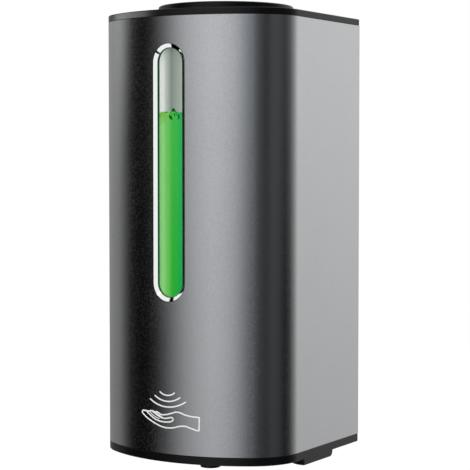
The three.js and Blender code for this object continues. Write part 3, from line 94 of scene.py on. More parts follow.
# half width of the soap and the tank wall behind the lens
SIGHT_HALF = 7.32
PLATE_FOOT, PLATE_TOP = -128.0, -125.5
FLANGE_SEAT = PLATE_TOP + SEAT_GAP
# y and z of the battery door's pin, and the radii of its knuckles and of the hole for the pin
HINGE, KNUCKLE, PIN_HOLE = (-10.0, -126.2), 1.8, 1.1
KNUCKLE_HALF = 12.0
COVER_CORNER = 1.5
# inset, rear inset and rear radius of the covers' rims inside the sleeve
RIM_OUTSIDE, RIM_INSIDE = (1.1, 3.6, 0.4), (2.9, 5.4, 0.4)


def a_length(name, description, default):
    return FloatProperty(name=name, description=description, default=default, unit="LENGTH")


def a_colour(name, description, default):
    return FloatVectorProperty(name=name, description=description, default=default, subtype="COLOR",
                               size=3, min=0, max=1)


class DispenserSizes(bpy.types.PropertyGroup):
    """Sizes of the dispenser's visible pieces."""

    front_radius: a_length("Front radius", "Radius of the shallow front arc", 0.072)
    corner_radius: a_length("Corner radius", "Radius between the front and each side", 0.025)
    rear_bend: a_length("Rear bend", "Outside radius of the sleeve's rear bends", 0.0009)
    return_flange: a_length("Return flange", "Width of the flange behind each rear bend", 0.008)
    sheet: a_length("Sheet", "Thickness of the sleeve's steel sheet", 0.0008)
    edge_round: a_length("Edge round", "Rounding of the outer edges of the black covers", 0.0005)
    small_round: a_length("Small round", "Rounding of small moulded edges", 0.00025)
    bezel_slope: a_length("Bezel slope", "Width of the window bezel's slope", 0.0018)
    bezel_depth: a_length("Bezel depth", "Depth of the window bezel's slope", 0.00127)
    lens_recess: a_length("Lens recess", "Depth of the lens behind the sleeve's front", 0.0017)
    lens_radius: a_length("Lens radius", "Radius of the lens's convex face", 0.040)
    sign_stroke: a_length("Sign stroke", "Width of the printed lines", 0.00062)
    bubble_count: IntProperty(
        name="Bubbles", description="Number of bubbles under the soap's surface", default=16)


class DispenserColours(bpy.types.PropertyGroup):
    """Colours of the dispenser's finishes."""

    steel: a_colour("Steel", "Satin steel of the sleeve", (0.56, 0.565, 0.575))
    chrome: a_colour("Chrome", "Polished window bezel", (0.90, 0.905, 0.91))
    black: a_colour("Black", "Moulded covers and lid", (0.004, 0.004, 0.0045))
    # The soap colours below paint light and shade into the soap: lit side, middle, shaded far side, shaded
    # low part and shaded edge.
    soap_light: a_colour("Soap, lit side", "Soap where the light enters it", (0.27, 0.62, 0.22))
    soap_middle: a_colour("Soap, middle", "Soap between its lit and its deep side", (0.16, 0.505, 0.12))
    soap_deep: a_colour(
        "Soap, deep", "Soap on the far side of the light, at its surface", (0.04, 0.41, 0.055))
    soap_low: a_colour(
        "Soap, low", "Soap on the far side of the light, low in the tank", (0.005, 0.35, 0.02))
    soap_edge: a_colour(
        "Soap, edge", "Soap at the edge of the window away from the light", (0.03, 0.37, 0.15))
    printing: a_colour("Printing", "White ink of the sign", (0.88, 0.88, 0.89))
    background: a_colour("Background", "Floor and backdrop", (1.0, 1.0, 1.0))


def mm(name):
    """A size property, in millimetres."""
    return getattr(bpy.context.scene.dispenser_sizes, name) / MM


def tone(name):
    """A colour property."""
    return tuple(getattr(bpy.context.scene.dispenser_colours, name))


# outlines


def arc(cx, cy, radius, start, end, steps):
    """Points on an arc, as (x, y, outward x, outward y), from one angle in degrees to another."""
    found = []
    for step in range(steps + 1):
        angle = math.radians(start + (end - start) * step / steps)
        found.append((cx + radius * math.cos(angle), cy + radius * math.sin(angle),
                      math.cos(angle), math.sin(angle)))
    return found


def flat(points):
    """The places alone of an arc's points."""
    return [(x, y) for x, y, _, _ in points]


def circle(centre, radius, steps):
    return flat(arc(*centre, radius, 0, 360, steps))[:-1]


def section_facts():
    """Centres and the half angle of the section's front arc and corners, in millimetres."""
    half = SLEEVE_HIGH.x
    front, corner = mm("front_radius"), mm("corner_radius")
    arc_y = SLEEVE_LOW.y + front
    angle = math.degrees(math.asin((half - corner) / (front - corner)))
    corner_y = arc_y - (front - corner) * math.cos(math.radians(angle))
    return half, front, corner, arc_y, corner_y, angle


def section_loop(inset=0.0, rear=0.0, rear_radius=COVER_CORNER):
    """The section seen from above, anticlockwise, always with the same number of points."""
    half, front, corner, arc_y, corner_y, angle = section_facts()
    back, side = SLEEVE_HIGH.y - rear - rear_radius, half - inset - rear_radius
    points = arc(corner - half, corner_y, corner - inset, 180, 270 - angle, 16)
    points += arc(0, arc_y, front - inset, 270 - angle, 270 + angle, 44)[1:]
    points += arc(half - corner, corner_y, corner - inset, 270 + angle, 360, 16)[1:]
    points += arc(side, back, rear_radius, 0, 90, 5)
    points += arc(-side, back, rear_radius, 90, 180, 5)
    return flat(points)


def front_y(x, depth=0.0):
    """Y of the front arc at x, moved straight back by depth."""
    _, front, _, arc_y, _, _ = section_facts()
    return arc_y - math.sqrt(front * front - x * x) + depth


def stadium(half_width, low, high, cap_steps=28, side_steps=6):
    """A standing stadium as (x, z), anticlockwise seen from the front; low and high are its cap centres."""
    found = []
    for side, near, far in ((-1, low, high), (1, high, low)):
        for step in range(cap_steps):
            angle = math.pi * step / cap_steps
            found.append((side * half_width * math.cos(angle), near + side * half_width * math.sin(angle)))
        for step in range(side_steps):
            found.append((-side * half_width, near + (far - near) * step / side_steps))
    return found


def at_height(loop, z):
    return [(x, y, z) for x, y in loop]


def section_rows(rows):
    """Section loops at heights, from (inset, rear, rear radius, height) rows."""
    return [at_height(section_loop(*row[:-1]), row[-1]) for row in rows]


def round_rows(centre, rows):
    """Circles that go with section loops, a point towards each of theirs, from (radius, height) rows."""
    ways = [Vector((x - centre[0], y - centre[1])).normalized() for x, y in section_loop()]
    return [[(centre[0] + (way * radius).x, centre[1] + (way * radius).y, z) for way in ways]
            for radius, z in rows]


def edge_steps(radius, steps=4):
    """How far in and how far down a rounded edge is, from its side to its top."""
    return [(radius * (1 - math.cos(QUARTER * k / steps)), radius * (1 - math.sin(QUARTER * k / steps)))
            for k in range(steps + 1)]


# meshes


def placed(name, data):
    """A new object in the scene."""
    made = bpy.data.objects.new(name, data)
    bpy.context.scene.collection.objects.link(made)
    return made


def clean(mesh, reach, flatten=False):
    """Merges doubled points and turns the faces outwards, after joining the flat ones if asked."""
    work = bmesh.new()
    work.from_mesh(mesh)
    bmesh.ops.remove_doubles(work, verts=work.verts, dist=reach)
    if flatten:
        bmesh.ops.dissolve_limit(work, angle_limit=math.radians(1), verts=work.verts, edges=work.edges)
    bmesh.ops.recalc_face_normals(work, faces=work.faces)
    work.to_mesh(mesh)
    work.free()


def mesh_object(name, vertices, faces):
    """A mesh object from millimetre points."""
    mesh = bpy.data.meshes.new(name)
    mesh.from_pydata([Vector(v) * MM for v in vertices], [], faces)
    clean(mesh, 1e-7)
    return placed(name, mesh)


def copy_of(node):
    """A new mesh with the shape of a CAD node, to be given softened edges."""
    made = placed(node + "_copy", NODES[node].data.copy())
    clean(made.data, 1e-6, flatten=True)
    return made


def stack(loops, closed=False, caps=True):
    """Vertices and faces of a body made of loops with the same number of points, one after another."""
    count = len(loops[0])
    vertices = [p for loop in loops for p in loop]
    faces = []
    for row in range(len(loops) if closed else len(loops) - 1):
        below, above = row * count, (row + 1) % len(loops) * count
        for k in range(count):
            nxt = (k + 1) % count
            faces.append((below + k, below + nxt, above + nxt, above + k))
    if caps and not closed:
        faces.append(tuple(reversed(range(count))))
        faces.append(tuple(range((len(loops) - 1) * count, len(loops) * count)))
    return vertices, faces


def lathe(profile, centre, steps):
    """Vertices and faces of a body of revolution about Z, from (radius, z) pairs."""
    return stack([at_height(circle(centre, radius, steps), z) for radius, z in profile], caps=False)


def block(low, high):
    """Vertices and faces of a box between two corners."""
    plan = [(low[0], low[1]), (high[0], low[1]), (high[0], high[1]), (low[0], high[1])]
    return stack([at_height(plan, low[2]), at_height(plan, high[2])])


def cylinder(axis, centre, radius, start, end, steps=48):
    """Vertices and faces of a cylinder along x, y or z."""
    loops = []
    for along in (start, end):
        loop = [list(point) for point in circle(centre, radius, steps)]
        for point in loop:
            point.insert("xyz".index(axis), along)
        loops.append(loop)
    return stack(loops)


def together(*bodies):
    """Vertices and faces of several bodies as one."""
    vertices, faces = [], []
    for more_vertices, more_faces in bodies:
        faces += [tuple(len(vertices) + v for v in face) for face in more_faces]
        vertices += more_vertices
    return vertices, faces


def taken_apart(made):
    """Vertices and faces of a mesh object, which is removed."""
    vertices = [tuple(v.co / MM) for v in made.data.vertices]
    faces = [tuple(face.vertices) for face in made.data.polygons]
    bpy.data.objects.remove(made)
    return vertices, faces


def modify(made, kind, **settings):
    """Puts the result of a modifier into an object's mesh."""
    modifier = made.modifiers.new(kind.lower(), kind)
    for name, value in settings.items():
        setattr(modifier, name, value)
    bpy.context.view_layer.update()
    old = made.data
    made.data = bpy.data.meshes.new_from_object(made.evaluated_get(bpy.context.evaluated_depsgraph_get()))
    made.modifiers.clear()
    bpy.data.meshes.remove(old)


def combine(made, operation, bodies):
    """Joins bodies to a mesh or cuts them out of it, one after another."""
    for body in bodies:
        tool = mesh_object("tool", *body)
        modify(made, "BOOLEAN", operation=operation, solver="EXACT", object=tool)
        bpy.data.objects.remove(tool)


def soften(made, width, angle=40):
    """Rounds the sharp edges of a mesh, to a width in millimetres."""
    modify(made, "BEVEL", width=width * MM, segments=2, limit_method="ANGLE", angle_limit=math.radians(angle),
           use_clamp_overlap=True)


def shade(made, angle):
    """Smooth shading that keeps flat faces flat and edges above the angle sharp."""
    for face in made.data.polygons:
        face.use_smooth = True
    made.data.set_sharp_from_angle(angle=math.radians(angle))
    modify(made, "WEIGHTED_NORMAL", keep_sharp=True)


def settle(made, name, look, stands_for=None, body="dispenser"):
    """Names a finished piece, gives it its material and body, and hides the CAD node it stands for."""
    made.name = name
    made.data.name = name
    made.data.materials.clear()
    made.data.materials.append(finish(look))
    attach(made, body)
    if stands_for:
        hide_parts(stands_for)


def piece(name, shape, look, stands_for=None, sharp=40, body="dispenser"):
    """A shaded piece, from vertices and faces or from a mesh that has been cut and softened."""
    made = mesh_object(name, *shape) if isinstance(shape, tuple) else shape
    shade(made, sharp)
    settle(made, name, look, stands_for, body)


# shader groups and materials


def plug(tree, node, inputs):
    """Sets a node's inputs. Each is a value, or a socket that is linked to it."""
    for key, value in inputs.items():
        if isinstance(value, bpy.types.NodeSocket):
            tree.links.new(value, node.inputs[key])
        else:
            node.inputs[key].default_value = value


def add(tree, kind, inputs=None, **settings):
    """A new shader node with its settings and inputs."""
    node = tree.nodes.new("ShaderNode" + kind)
    for name, value in settings.items():
        setattr(node, name, value)
    plug(tree, node, inputs or {})
    return node


def reckon(tree, operation, *terms):
    """A sum or another reckoning with numbers and sockets."""
    return add(tree, "Math", dict(enumerate(terms)), operation=operation).outputs[0]


def span(tree, value, low, high, to_low=0.0, to_high=1.0):
    """A value that goes from one to another while the given one goes from low to high."""
    return add(tree, "MapRange", {"Value": value, "From Min": low, "From Max": high,
                                  "To Min": to_low, "To Max": to_high}).outputs["Result"]


def span_mm(tree, value, low, high):
    """0 to 1 while a place goes from low to high, in millimetres."""
    return span(tree, value, low * MM, high * MM)


def mixed(tree, share, first, second):
    """A mix of two colours. Each is a colour or a socket."""
    ends = [(*end, 1) if isinstance(end, tuple) else end for end in (first, second)]
    return add(tree, "Mix", {"Factor": share, "A": ends[0], "B": ends[1]}, data_type="RGBA").outputs["Result"]


def colour_ramp(tree, share, stops, interpolation="LINEAR"):
    """A colour that changes with the share, from (share, colour) stops."""
    ramp = add(tree, "ValToRGB", {"Fac": share})
    ramp.color_ramp.interpolation = interpolation
    elements = ramp.color_ramp.elements
    for k, (spot, value) in enumerate(stops):
        if 0 < k < len(stops) - 1:
            element = elements.new(spot)
        else:
            element = elements[0 if k == 0 else -1]
        element.position = spot
        element.color = (*value, 1)
    return ramp.outputs["Color"]


def split_place(tree, kind="Object"):
    """X, Y and Z of a texture coordinate."""
    place = add(tree, "TexCoord").outputs[kind]
    return add(tree, "SeparateXYZ", {"Vector": place}).outputs


def grain_group():
    """Fine grain at a given size: a tone, a roughness that wanders and is mottled, and a height for bump."""
    found = bpy.data.node_groups.get("surface_grain")
    if found:
        return found
    group = bpy.data.node_groups.new("surface_grain", "ShaderNodeTree")
    for name, usual in (("Scale", 1000), ("Stretch", 1), ("Dark", None), ("Light", None), ("Low", 0.3),
                        ("High", 0.4), ("Mottle", 0)):
        kind = "Color" if usual is None else "Float"
        socket = group.interface.new_socket(name, in_out="INPUT", socket_type="NodeSocket" + kind)
        if usual is not None:
            socket.default_value = usual
    for name, kind in (("Colour", "Color"), ("Roughness", "Float"), ("Height", "Float")):
        group.interface.new_socket(name, in_out="OUTPUT", socket_type="NodeSocket" + kind)
    given = group.nodes.new("NodeGroupInput").outputs
    place = add(group, "TexCoord").outputs["Object"]
    tall = reckon(group, "MULTIPLY", given["Scale"], given["Stretch"])
    scale = add(group, "CombineXYZ", {"X": given["Scale"], "Y": given["Scale"], "Z": tall}).outputs["Vector"]
    sized = add(group, "VectorMath", {0: place, 1: scale}, operation="MULTIPLY").outputs["Vector"]
    fine, broad, blobs = (
        add(group, "TexNoise", {"Vector": spot, "Scale": size, "Detail": detail, "Roughness": rough})
        .outputs["Fac"]
        for spot, size, detail, rough in ((sized, 1, 3, 0.65), (place, 38, 4, 0.5), (sized, 0.8, 1, 0.5)))
    rough = span(group, broad, 0.35, 0.65, given["Low"], given["High"])
    signed = span(group, blobs, 0.4, 0.6, -1)
    plug(group, group.nodes.new("NodeGroupOutput"), {
        "Colour": mixed(group, span(group, fine, 0.3, 0.7), given["Dark"], given["Light"]),
        "Roughness": reckon(group, "MULTIPLY_ADD", signed, given["Mottle"], rough),
        "Height": fine})
    return group


# colour or the property that holds it, roughness, metallic, grains per metre, spread of the tone, strength
# of the bump, and what else the finish has
FINISHES = {
    "satin_sheet": ("steel", 0.17, 1.0, 1400, 0.02, 0.3, {"stretch": 0.9, "depth": 0.00005, "mottle": 0.06}),
    "polished_chrome": ("chrome", 0.07, 1.0, 4000, 0.02, 0.01, {}),
    "moulded_gloss": ("black", 0.24, 0.0, 2600, 0.15, 0.03, {"IOR": 1.34}),
    "moulded_satin": ("black", 0.36, 0.0, 2600, 0.2, 0.06, {"IOR": 1.36}),
    "moulded_matte": ((0.02, 0.02, 0.021), 0.58, 0.0, 3000, 0.25, 0.2, {}),
    "zinc_plate": ((0.60, 0.60, 0.62), 0.32, 1.0, 1800, 0.12, 0.05, {}),
    "milky_plastic": ((0.74, 0.76, 0.74), 0.38, 0.0, 1200, 0.03, 0.02, {}),
    "pump_acetal": ((0.70, 0.68, 0.61), 0.45, 0.0, 2200, 0.05, 0.05, {}),
    "gear_nylon": ((0.85, 0.83, 0.74), 0.40, 0.0, 2200, 0.04, 0.04, {}),
    "silicone_rubber": ((0.58, 0.59, 0.58), 0.62, 0.0, 1600, 0.05, 0.08, {}),
    "white_print": ("printing", 0.45, 0.0, 3500, 0.05, 0.05, {}),
    "infrared_acrylic": ((0.012, 0.004, 0.008), 0.12, 0.0, 3000, 0.2, 0.01, {"Coat Weight": 0.5}),
    "chip_epoxy": ((0.015, 0.015, 0.016), 0.5, 0.0, 4500, 0.3, 0.15, {}),
    "solder_mask": ((0.012, 0.10, 0.035), 0.35, 0.0, 900, 0.1, 0.05, {}),
    "cell_label": ((0.3, 0.3, 0.3), 0.3, 0.6, 2000, 0.05, 0.02, {}),
    # dark green of the lip round the lens: painted shade of the gap between bezel and lens
    "lens_lip": ((0.010, 0.036, 0.016), 0.5, 0.0, 3000, 0.2, 0.1, {}),
    "clear_lens": ((0.96, 0.985, 0.965), 0.04, 0.0, 1500, 0.01, 0.005,
                   {"Transmission Weight": 1.0, "IOR": 1.36}),
    "soap_green": ("soap_light", 0.2, 0.0, 300, 0.03, 0.02, {"Specular IOR Level": 0.0}),
    "bubble_skin": ((0.002, 0.15, 0.025), 0.3, 0.0, 500, 0.1, 0.02, {"Specular IOR Level": 0.0}),
    "empty_tank": ((0.6, 0.61, 0.6), 0.4, 0.0, 300, 0.03, 0.02, {"Specular IOR Level": 0.0}),
}
TEXTURE_DEFAULTS = {"stretch": 1.0, "depth": 0.00003, "mottle": 0.0}


def finish(name):
    """The material of a finish: grain in its colour, roughness and bump, and a pattern or painted light where
    it has one.
    """
    found = bpy.data.materials.get(name)
    if found:
        return found
    colour, roughness, metallic, grain, spread, bump, others = FINISHES[name]
    if isinstance(colour, str):
        colour = tone(colour)
    texture = {key: others.get(key, usual) for key, usual in TEXTURE_DEFAULTS.items()}
    material = bpy.data.materials.new(name)
    material.use_nodes = True
    tree = material.node_tree
    shader = tree.nodes["Principled BSDF"]
    given = add(tree, "Group", {
        "Scale": grain, "Stretch": texture["stretch"], "Mottle": texture["mottle"],
        "Dark": (*[c * (1 - spread) for c in colour], 1),
        "Light": (*[min(1, c * (1 + spread)) for c in colour], 1),
        "Low": roughness * 0.88, "High": roughness * 1.12}, node_tree=grain_group()).outputs
    raised = add(tree, "Bump", {"Strength": bump, "Distance": texture["depth"], "Height": given["Height"]})
    plug(tree, shader, {"Base Color": given["Colour"], "Roughness": given["Roughness"], "Metallic": metallic,
                        "Normal": raised.outputs["Normal"],
                        **{key: value for key, value in others.items() if key not in texture}})
    if name in PATTERNS_AND_PAINTED_LIGHT:
        PATTERNS_AND_PAINTED_LIGHT[name](tree, shader)
    return material


def board_tracks(tree, shader):
    """Lighter tracks that run across the solder mask."""
    tracks = add(tree, "TexBrick", {
        "Vector": add(tree, "TexCoord").outputs["Object"], "Scale": 220, "Mortar Size": 0.035,
        "Color1": (0.012, 0.10, 0.035, 1), "Color2": (0.015, 0.115, 0.04, 1),
        "Mortar": (0.05, 0.24, 0.09, 1)})
    plug(tree, shader, {"Base Color": tracks.outputs["Color"]})


def cell_bands(tree, shader):
    """Printed sleeve of a cell: dark over two thirds of its height, metal grey over the rest."""
    height = split_place(tree, "Generated")["Z"]
    bands = colour_ramp(tree, height, [(0, (0.03, 0.033, 0.036)), (0.66, (0.42, 0.43, 0.44))], "CONSTANT")
    plug(tree, shader, {"Base Color": bands})


def painted_glow(tree, shader, colour, strength):
    """Lets the colour also shine a little: a painted glow, emission that stands in for the light a liquid
    scatters inside it.
    """
    plug(tree, shader, {"Base Color": colour, "Emission Color": colour, "Emission Strength": strength})


def across(tree, x, stops):
    """A colour that changes across the window, from (millimetres from the middle, colour) stops."""
    low, high = stops[0][0], stops[-1][0]
    return colour_ramp(tree, span_mm(tree, x, low, high),
                       [((at - low) / (high - low), colour) for at, colour in stops])


def soap_painted_light(tree, shader):
    """Painted light and shade on the soap: lighter on the side where the light enters it, deepening across
    and downwards, with a painted patch of light near the top of the lit side.
    """
    light, middle, deep, low, edge = (
        tone("soap_" + part) for part in ("light", "middle", "deep", "low", "edge"))
    painted_light_patch_tone = (0.185, 0.50, 0.075)
    place = split_place(tree)
    x, z = place["X"], place["Z"]
    # painted shade across the window: from the lit colours on the left to the shaded ones on the right
    shares = [(-6.5, 0), (-3.2, 0), (-1.5, 0.38), (-0.4, 0.80), (0.5, 0.87), (2.4, 0.90), (3.4, 1), (6.5, 1)]
    share = across(tree, x, [(at, (part, part, part)) for at, part in shares])
    near = mixed(tree, span_mm(tree, x, -3.2, -5.0), middle, light)
    # painted shade: darker low in the tank
    far = mixed(tree, span_mm(tree, z, 28, -52), deep, low)
    # painted shade towards the window's edge away from the light
    body = mixed(tree, span_mm(tree, x, 1.5, 8.5), mixed(tree, share, near, far), edge)
    # painted light: a brighter, yellower patch near the surface on the lit side
    corner = reckon(tree, "MULTIPLY", span_mm(tree, x, -1.0, -3.5), span_mm(tree, z, 26, 31.5))
    painted_glow(tree, shader, mixed(tree, corner, body, painted_light_patch_tone), 0.69)


def tank_painted_light(tree, shader):
    """Milky tank wall behind the empty part of the window, with painted light from one side and a painted
    glow.
    """
    # painted light: pale on the lit side, darkest just left of the middle, a little lighter to the right
    stops = [(-6.2, (0.90, 0.91, 0.89)), (-4.9, (0.80, 0.81, 0.79)), (-3.4, (0.50, 0.52, 0.52)),
             (-1.5, (0.33, 0.36, 0.34)), (-0.4, (0.225, 0.255, 0.23)), (0.8, (0.27, 0.30, 0.27)),
             (6.2, (0.44, 0.48, 0.43))]
    painted_glow(tree, shader, across(tree, split_place(tree)["X"], stops), 0.60)


# real tracks and print, and the painted light and glow of the soap and tank wall
PATTERNS_AND_PAINTED_LIGHT = {"solder_mask": board_tracks, "cell_label": cell_bands, "soap_green": soap_painted_light,
            "empty_tank": tank_painted_light}


# housing


def build_sleeve():
    """Steel sheet bent round the section, with the window cut through it and its rear edges returned."""
    half, front, corner, arc_y, corner_y, angle = section_facts()
    bend = mm("rear_bend")
    flange_x, back = half - mm("return_flange"), SLEEVE_HIGH.y
    opening = BEZEL_HALF + SEAT_GAP
    # the part of the sheet that holds the window: half width, columns, height past the round ends' centres
    patch_half, patch_columns, margin = 12.5, 16, 14.0

    def on_front(x):
        return x, front_y(x), x / front, -math.sqrt(1 - (x / front) ** 2)

    columns = [(-flange_x, back, 0.0, 1.0), (-flange_x - 3, back, 0.0, 1.0)]
    columns += arc(bend - half, back - bend, bend, 90, 180, 6)
    side = corner_y - back + bend
    columns += [(-half, back - bend + side * share, -1.0, 0.0) for share in (0.02, 0.5, 0.98)]
    columns += arc(corner - half, corner_y, corner, 180, 270 - angle, 26)
    edge_angle = math.degrees(math.asin(patch_half / front))
    columns += arc(0, arc_y, front, 270 - angle, 270 - edge_angle, 18)[1:]
    first_column = len(columns) - 1
    last_column = first_column + patch_columns
    columns += [on_front(-patch_half + 2 * patch_half * k / patch_columns) for k in range(1, patch_columns)]
    columns += [(-x, y, -nx, ny) for x, y, nx, ny in reversed(columns[:first_column + 1])]

    rows = [SLEEVE_LOW.z, CAP_LOW - margin - 8]
    rows += [CAP_LOW - margin + margin * k / 10 for k in range(10)]
    rows += [CAP_LOW + (CAP_HIGH - CAP_LOW) * k / 12 for k in range(12)]
    rows += [CAP_HIGH + margin * k / 10 for k in range(11)]
    rows += [SLEEVE_HIGH.z]
    first_row, last_row = 2, len(rows) - 2

    points, normals, faces, grid = [], [], [], {}

    def point(x, y, nx, ny, z):
        points.append(Vector((x, y, z)))
        normals.append(Vector((nx, ny, 0)))
        return len(points) - 1

    for i, column in enumerate(columns):
        for j, z in enumerate(rows):
            if not (first_column < i < last_column and first_row < j < last_row):
                grid[i, j] = point(*column, z)
    for i in range(len(columns) - 1):
        for j in range(len(rows) - 1):
            if not (first_column <= i < last_column and first_row <= j < last_row):
                faces.append((grid[i, j], grid[i + 1, j], grid[i + 1, j + 1], grid[i, j + 1]))

    rim = [(i, first_row) for i in range(first_column, last_column)]
    rim += [(last_column, j) for j in range(first_row, last_row)]
    rim += [(i, last_row) for i in range(last_column, first_column, -1)]
    rim += [(first_column, j) for j in range(last_row, first_row, -1)]
    rings = [[grid[key] for key in rim]]
    for share in (0.55, 0.25, 0.1, 0.0):
        ring = []
        for i, j in rim:
            x, z = columns[i][0], rows[j]
            goal_x, goal_z = math.copysign(opening, x), z
            if z > CAP_HIGH or z < CAP_LOW:
                cap = CAP_HIGH if z > CAP_HIGH else CAP_LOW
                goal_x, goal_z = Vector((x, z - cap)).normalized() * opening
                goal_z += cap
            ring.append(point(*on_front(goal_x + (x - goal_x) * share), goal_z + (z - goal_z) * share))
        rings.append(ring)
    for far, near in zip(rings, rings[1:]):
        for k in range(len(rim)):
            nxt = (k + 1) % len(rim)
            faces.append((far[k], far[nxt], near[nxt], near[k]))
    sheet_piece("steel_sleeve", points, normals, faces, mm("sheet"))


def sheet_piece(name, points, normals, faces, thickness):
    """The sleeve's sheet, from the points, normals and faces of its outer side."""
    outer, used = [], {}
    for face in faces:
        a, b, c = (points[v] for v in face[:3])
        facing = (b - a).cross(c - a).dot(normals[face[0]] + normals[face[2]])
        outer.append(face if facing > 0 else tuple(reversed(face)))
        used.update(dict.fromkeys(zip(outer[-1], outer[-1][1:] + outer[-1][:1])))
    count = len(points)
    inner = [p - n * thickness for p, n in zip(points, normals)]
    skins = outer + [tuple(count + v for v in reversed(face)) for face in outer]
    sides = [(b, a, count + a, count + b) for a, b in used if (b, a) not in used]
    mesh = bpy.data.meshes.new(name)
    mesh.from_pydata([v * MM for v in points + inner], [], skins + sides)
    custom = []
    for face in mesh.polygons:
        face.use_smooth = face.index < len(skins)
        for v in face.vertices:
            outward = normals[v] if v < count else -normals[v - count]
            custom.append(outward if face.use_smooth else (0, 0, 0))
    mesh.normals_split_custom_set(custom)
    settle(placed(name, mesh), name, "satin_sheet", "shell_sleeve")


def build_top_cover():
    """Moulded cover with a rounded outer edge, the filler hole and a skirt inside the sleeve."""
    foot, top = SLEEVE_HIGH.z + SEAT_GAP, TOP_HIGH.z
    hole = 28.3
    collar, collar_foot = hole + 2, NECK_LOW.z + 4.55
    loops = section_rows([(0.12, foot), (0.0, foot + 0.12)])
    loops += section_rows([(inward, inward, COVER_CORNER, top - down)
                           for inward, down in edge_steps(mm("edge_round"), 5)])
    loops += round_rows(LID_CENTRE, [
        (hole + 0.5, top), (hole + 0.15, top - 0.15), (hole, top - 0.5), (hole, collar_foot),
        (collar, collar_foot), (collar, foot)])
    loops += section_rows([(*RIM_INSIDE, foot), (*RIM_INSIDE, TOP_LOW.z), (*RIM_OUTSIDE, TOP_LOW.z),
                           (*RIM_OUTSIDE, foot)])
    piece("top_cover_shell", stack(loops, closed=True), "moulded_gloss", "top_cover")


def skid_body(side):
    """One skid: rounded inner nose, rounded heel and a softened foot."""
    half = SLEEVE_HIGH.x
    front, back, inner = -57.5, -28.8, 39.5
    nose, heel, beyond = 9.0, 2.4, 5
    foot, top = BASE_LOW.z, PLATE_FOOT + 1.2
    plan = [(half, front), (half, back), (inner, back)]
    plan += flat(arc(inner + nose, front + nose, nose, 180, 270, 12))
    plan = [(side * x, y) for x, y in plan][::side]
    made = mesh_object("skid", *stack([at_height(plan, foot), at_height(plan, top)]))
    profile = [(front - beyond, top + 2), (front - beyond, foot)]
    profile += flat(arc(back - heel, foot + heel, heel, 270, 360, 10))
    profile.append((back, top + 2))
    loops = [[(x, y, z) for y, z in profile] for x in (-half - beyond, half + beyond)]
    combine(made, "INTERSECT", [stack(loops)])
    soften(made, 0.3, 50)
    return taken_apart(made)


def build_base_cover():
    """Moulded base with its skids, lugs and openings."""
    top, rim_top = SLEEVE_LOW.z - SEAT_GAP, -117.0
    loops = section_rows([(inward, inward, COVER_CORNER, PLATE_FOOT + down)
                          for inward, down in reversed(edge_steps(mm("edge_round"), 5))])
    loops += section_rows([(0.0, top - 0.12), (0.12, top), (*RIM_OUTSIDE, top), (*RIM_OUTSIDE, rim_top),
                           (*RIM_INSIDE, rim_top), (*RIM_INSIDE, PLATE_TOP)])
    made = mesh_object("base_cover_shell", *stack(loops))
    combine(made, "UNION", [skid_body(-1), skid_body(1)])

    low, high = PLATE_FOOT - 3, PLATE_TOP + 3
    lug_in, lug_out = KNUCKLE_HALF + FREE_GAP, 17.3
    spout_hole, button_hole, screw_hole, head_hole, head_depth = 5.2, 4.3, 1.8, 3.1, 1.3
    sensor = lying_stadium(SENSOR_LENGTH + 2 * FREE_GAP, SENSOR_WIDTH + 2 * FREE_GAP)
    door_half, door_rear = 32.35, -11.7
    screws = [(x, y) for x in (-42, 42) for y in (-61.8, -22.8)]
    cuts = [
        cylinder("z", NOZZLE_CENTRE, spout_hole, low, high, 64),
        cylinder("z", BUTTON_CENTRE, button_hole, low, high, 64),
        stack([at_height(sensor, low), at_height(sensor, high)]),
        block((-door_half, DOOR_LOW.y - FREE_GAP, low), (door_half, door_rear, high)),
        block((-lug_in, -14, low), (lug_in, -7.6, high)),
    ]
    for spot in screws:
        cuts += [cylinder("z", spot, screw_hole, low, high, 32),
                 cylinder("z", spot, head_hole, low, PLATE_FOOT + head_depth, 48)]
    combine(made, "DIFFERENCE", cuts)
    for left, right in ((-lug_out, -lug_in), (lug_in, lug_out)):
        combine(made, "UNION", [cylinder("x", HINGE, KNUCKLE, left, right, 40),
                                block((left, HINGE[0], PLATE_FOOT), (right, -7.5, -124.4))])
    combine(made, "DIFFERENCE", [cylinder("x", HINGE, PIN_HOLE, SEAT_GAP - lug_out, lug_out - SEAT_GAP, 24)])
    soften(made, mm("small_round"), 50)
    piece("base_cover_shell", made, "moulded_gloss", "base_cover")


def lying_stadium(width, depth):
    """The outline of the infrared window, seen from above."""
    centre_y, radius = (SENSOR_LOW.y + SENSOR_HIGH.y) / 2, depth / 2
    return flat(arc(width / 2 - radius, centre_y, radius, -90, 90, 20)
                + arc(radius - width / 2, centre_y, radius, 90, 270, 20))


def build_back_cover():
    """Back cover with its recess and slots, with softened edges."""
    made = copy_of("back_cover")
    soften(made, 0.3)
    piece("back_cover_shell", made, "moulded_matte", "back_cover")


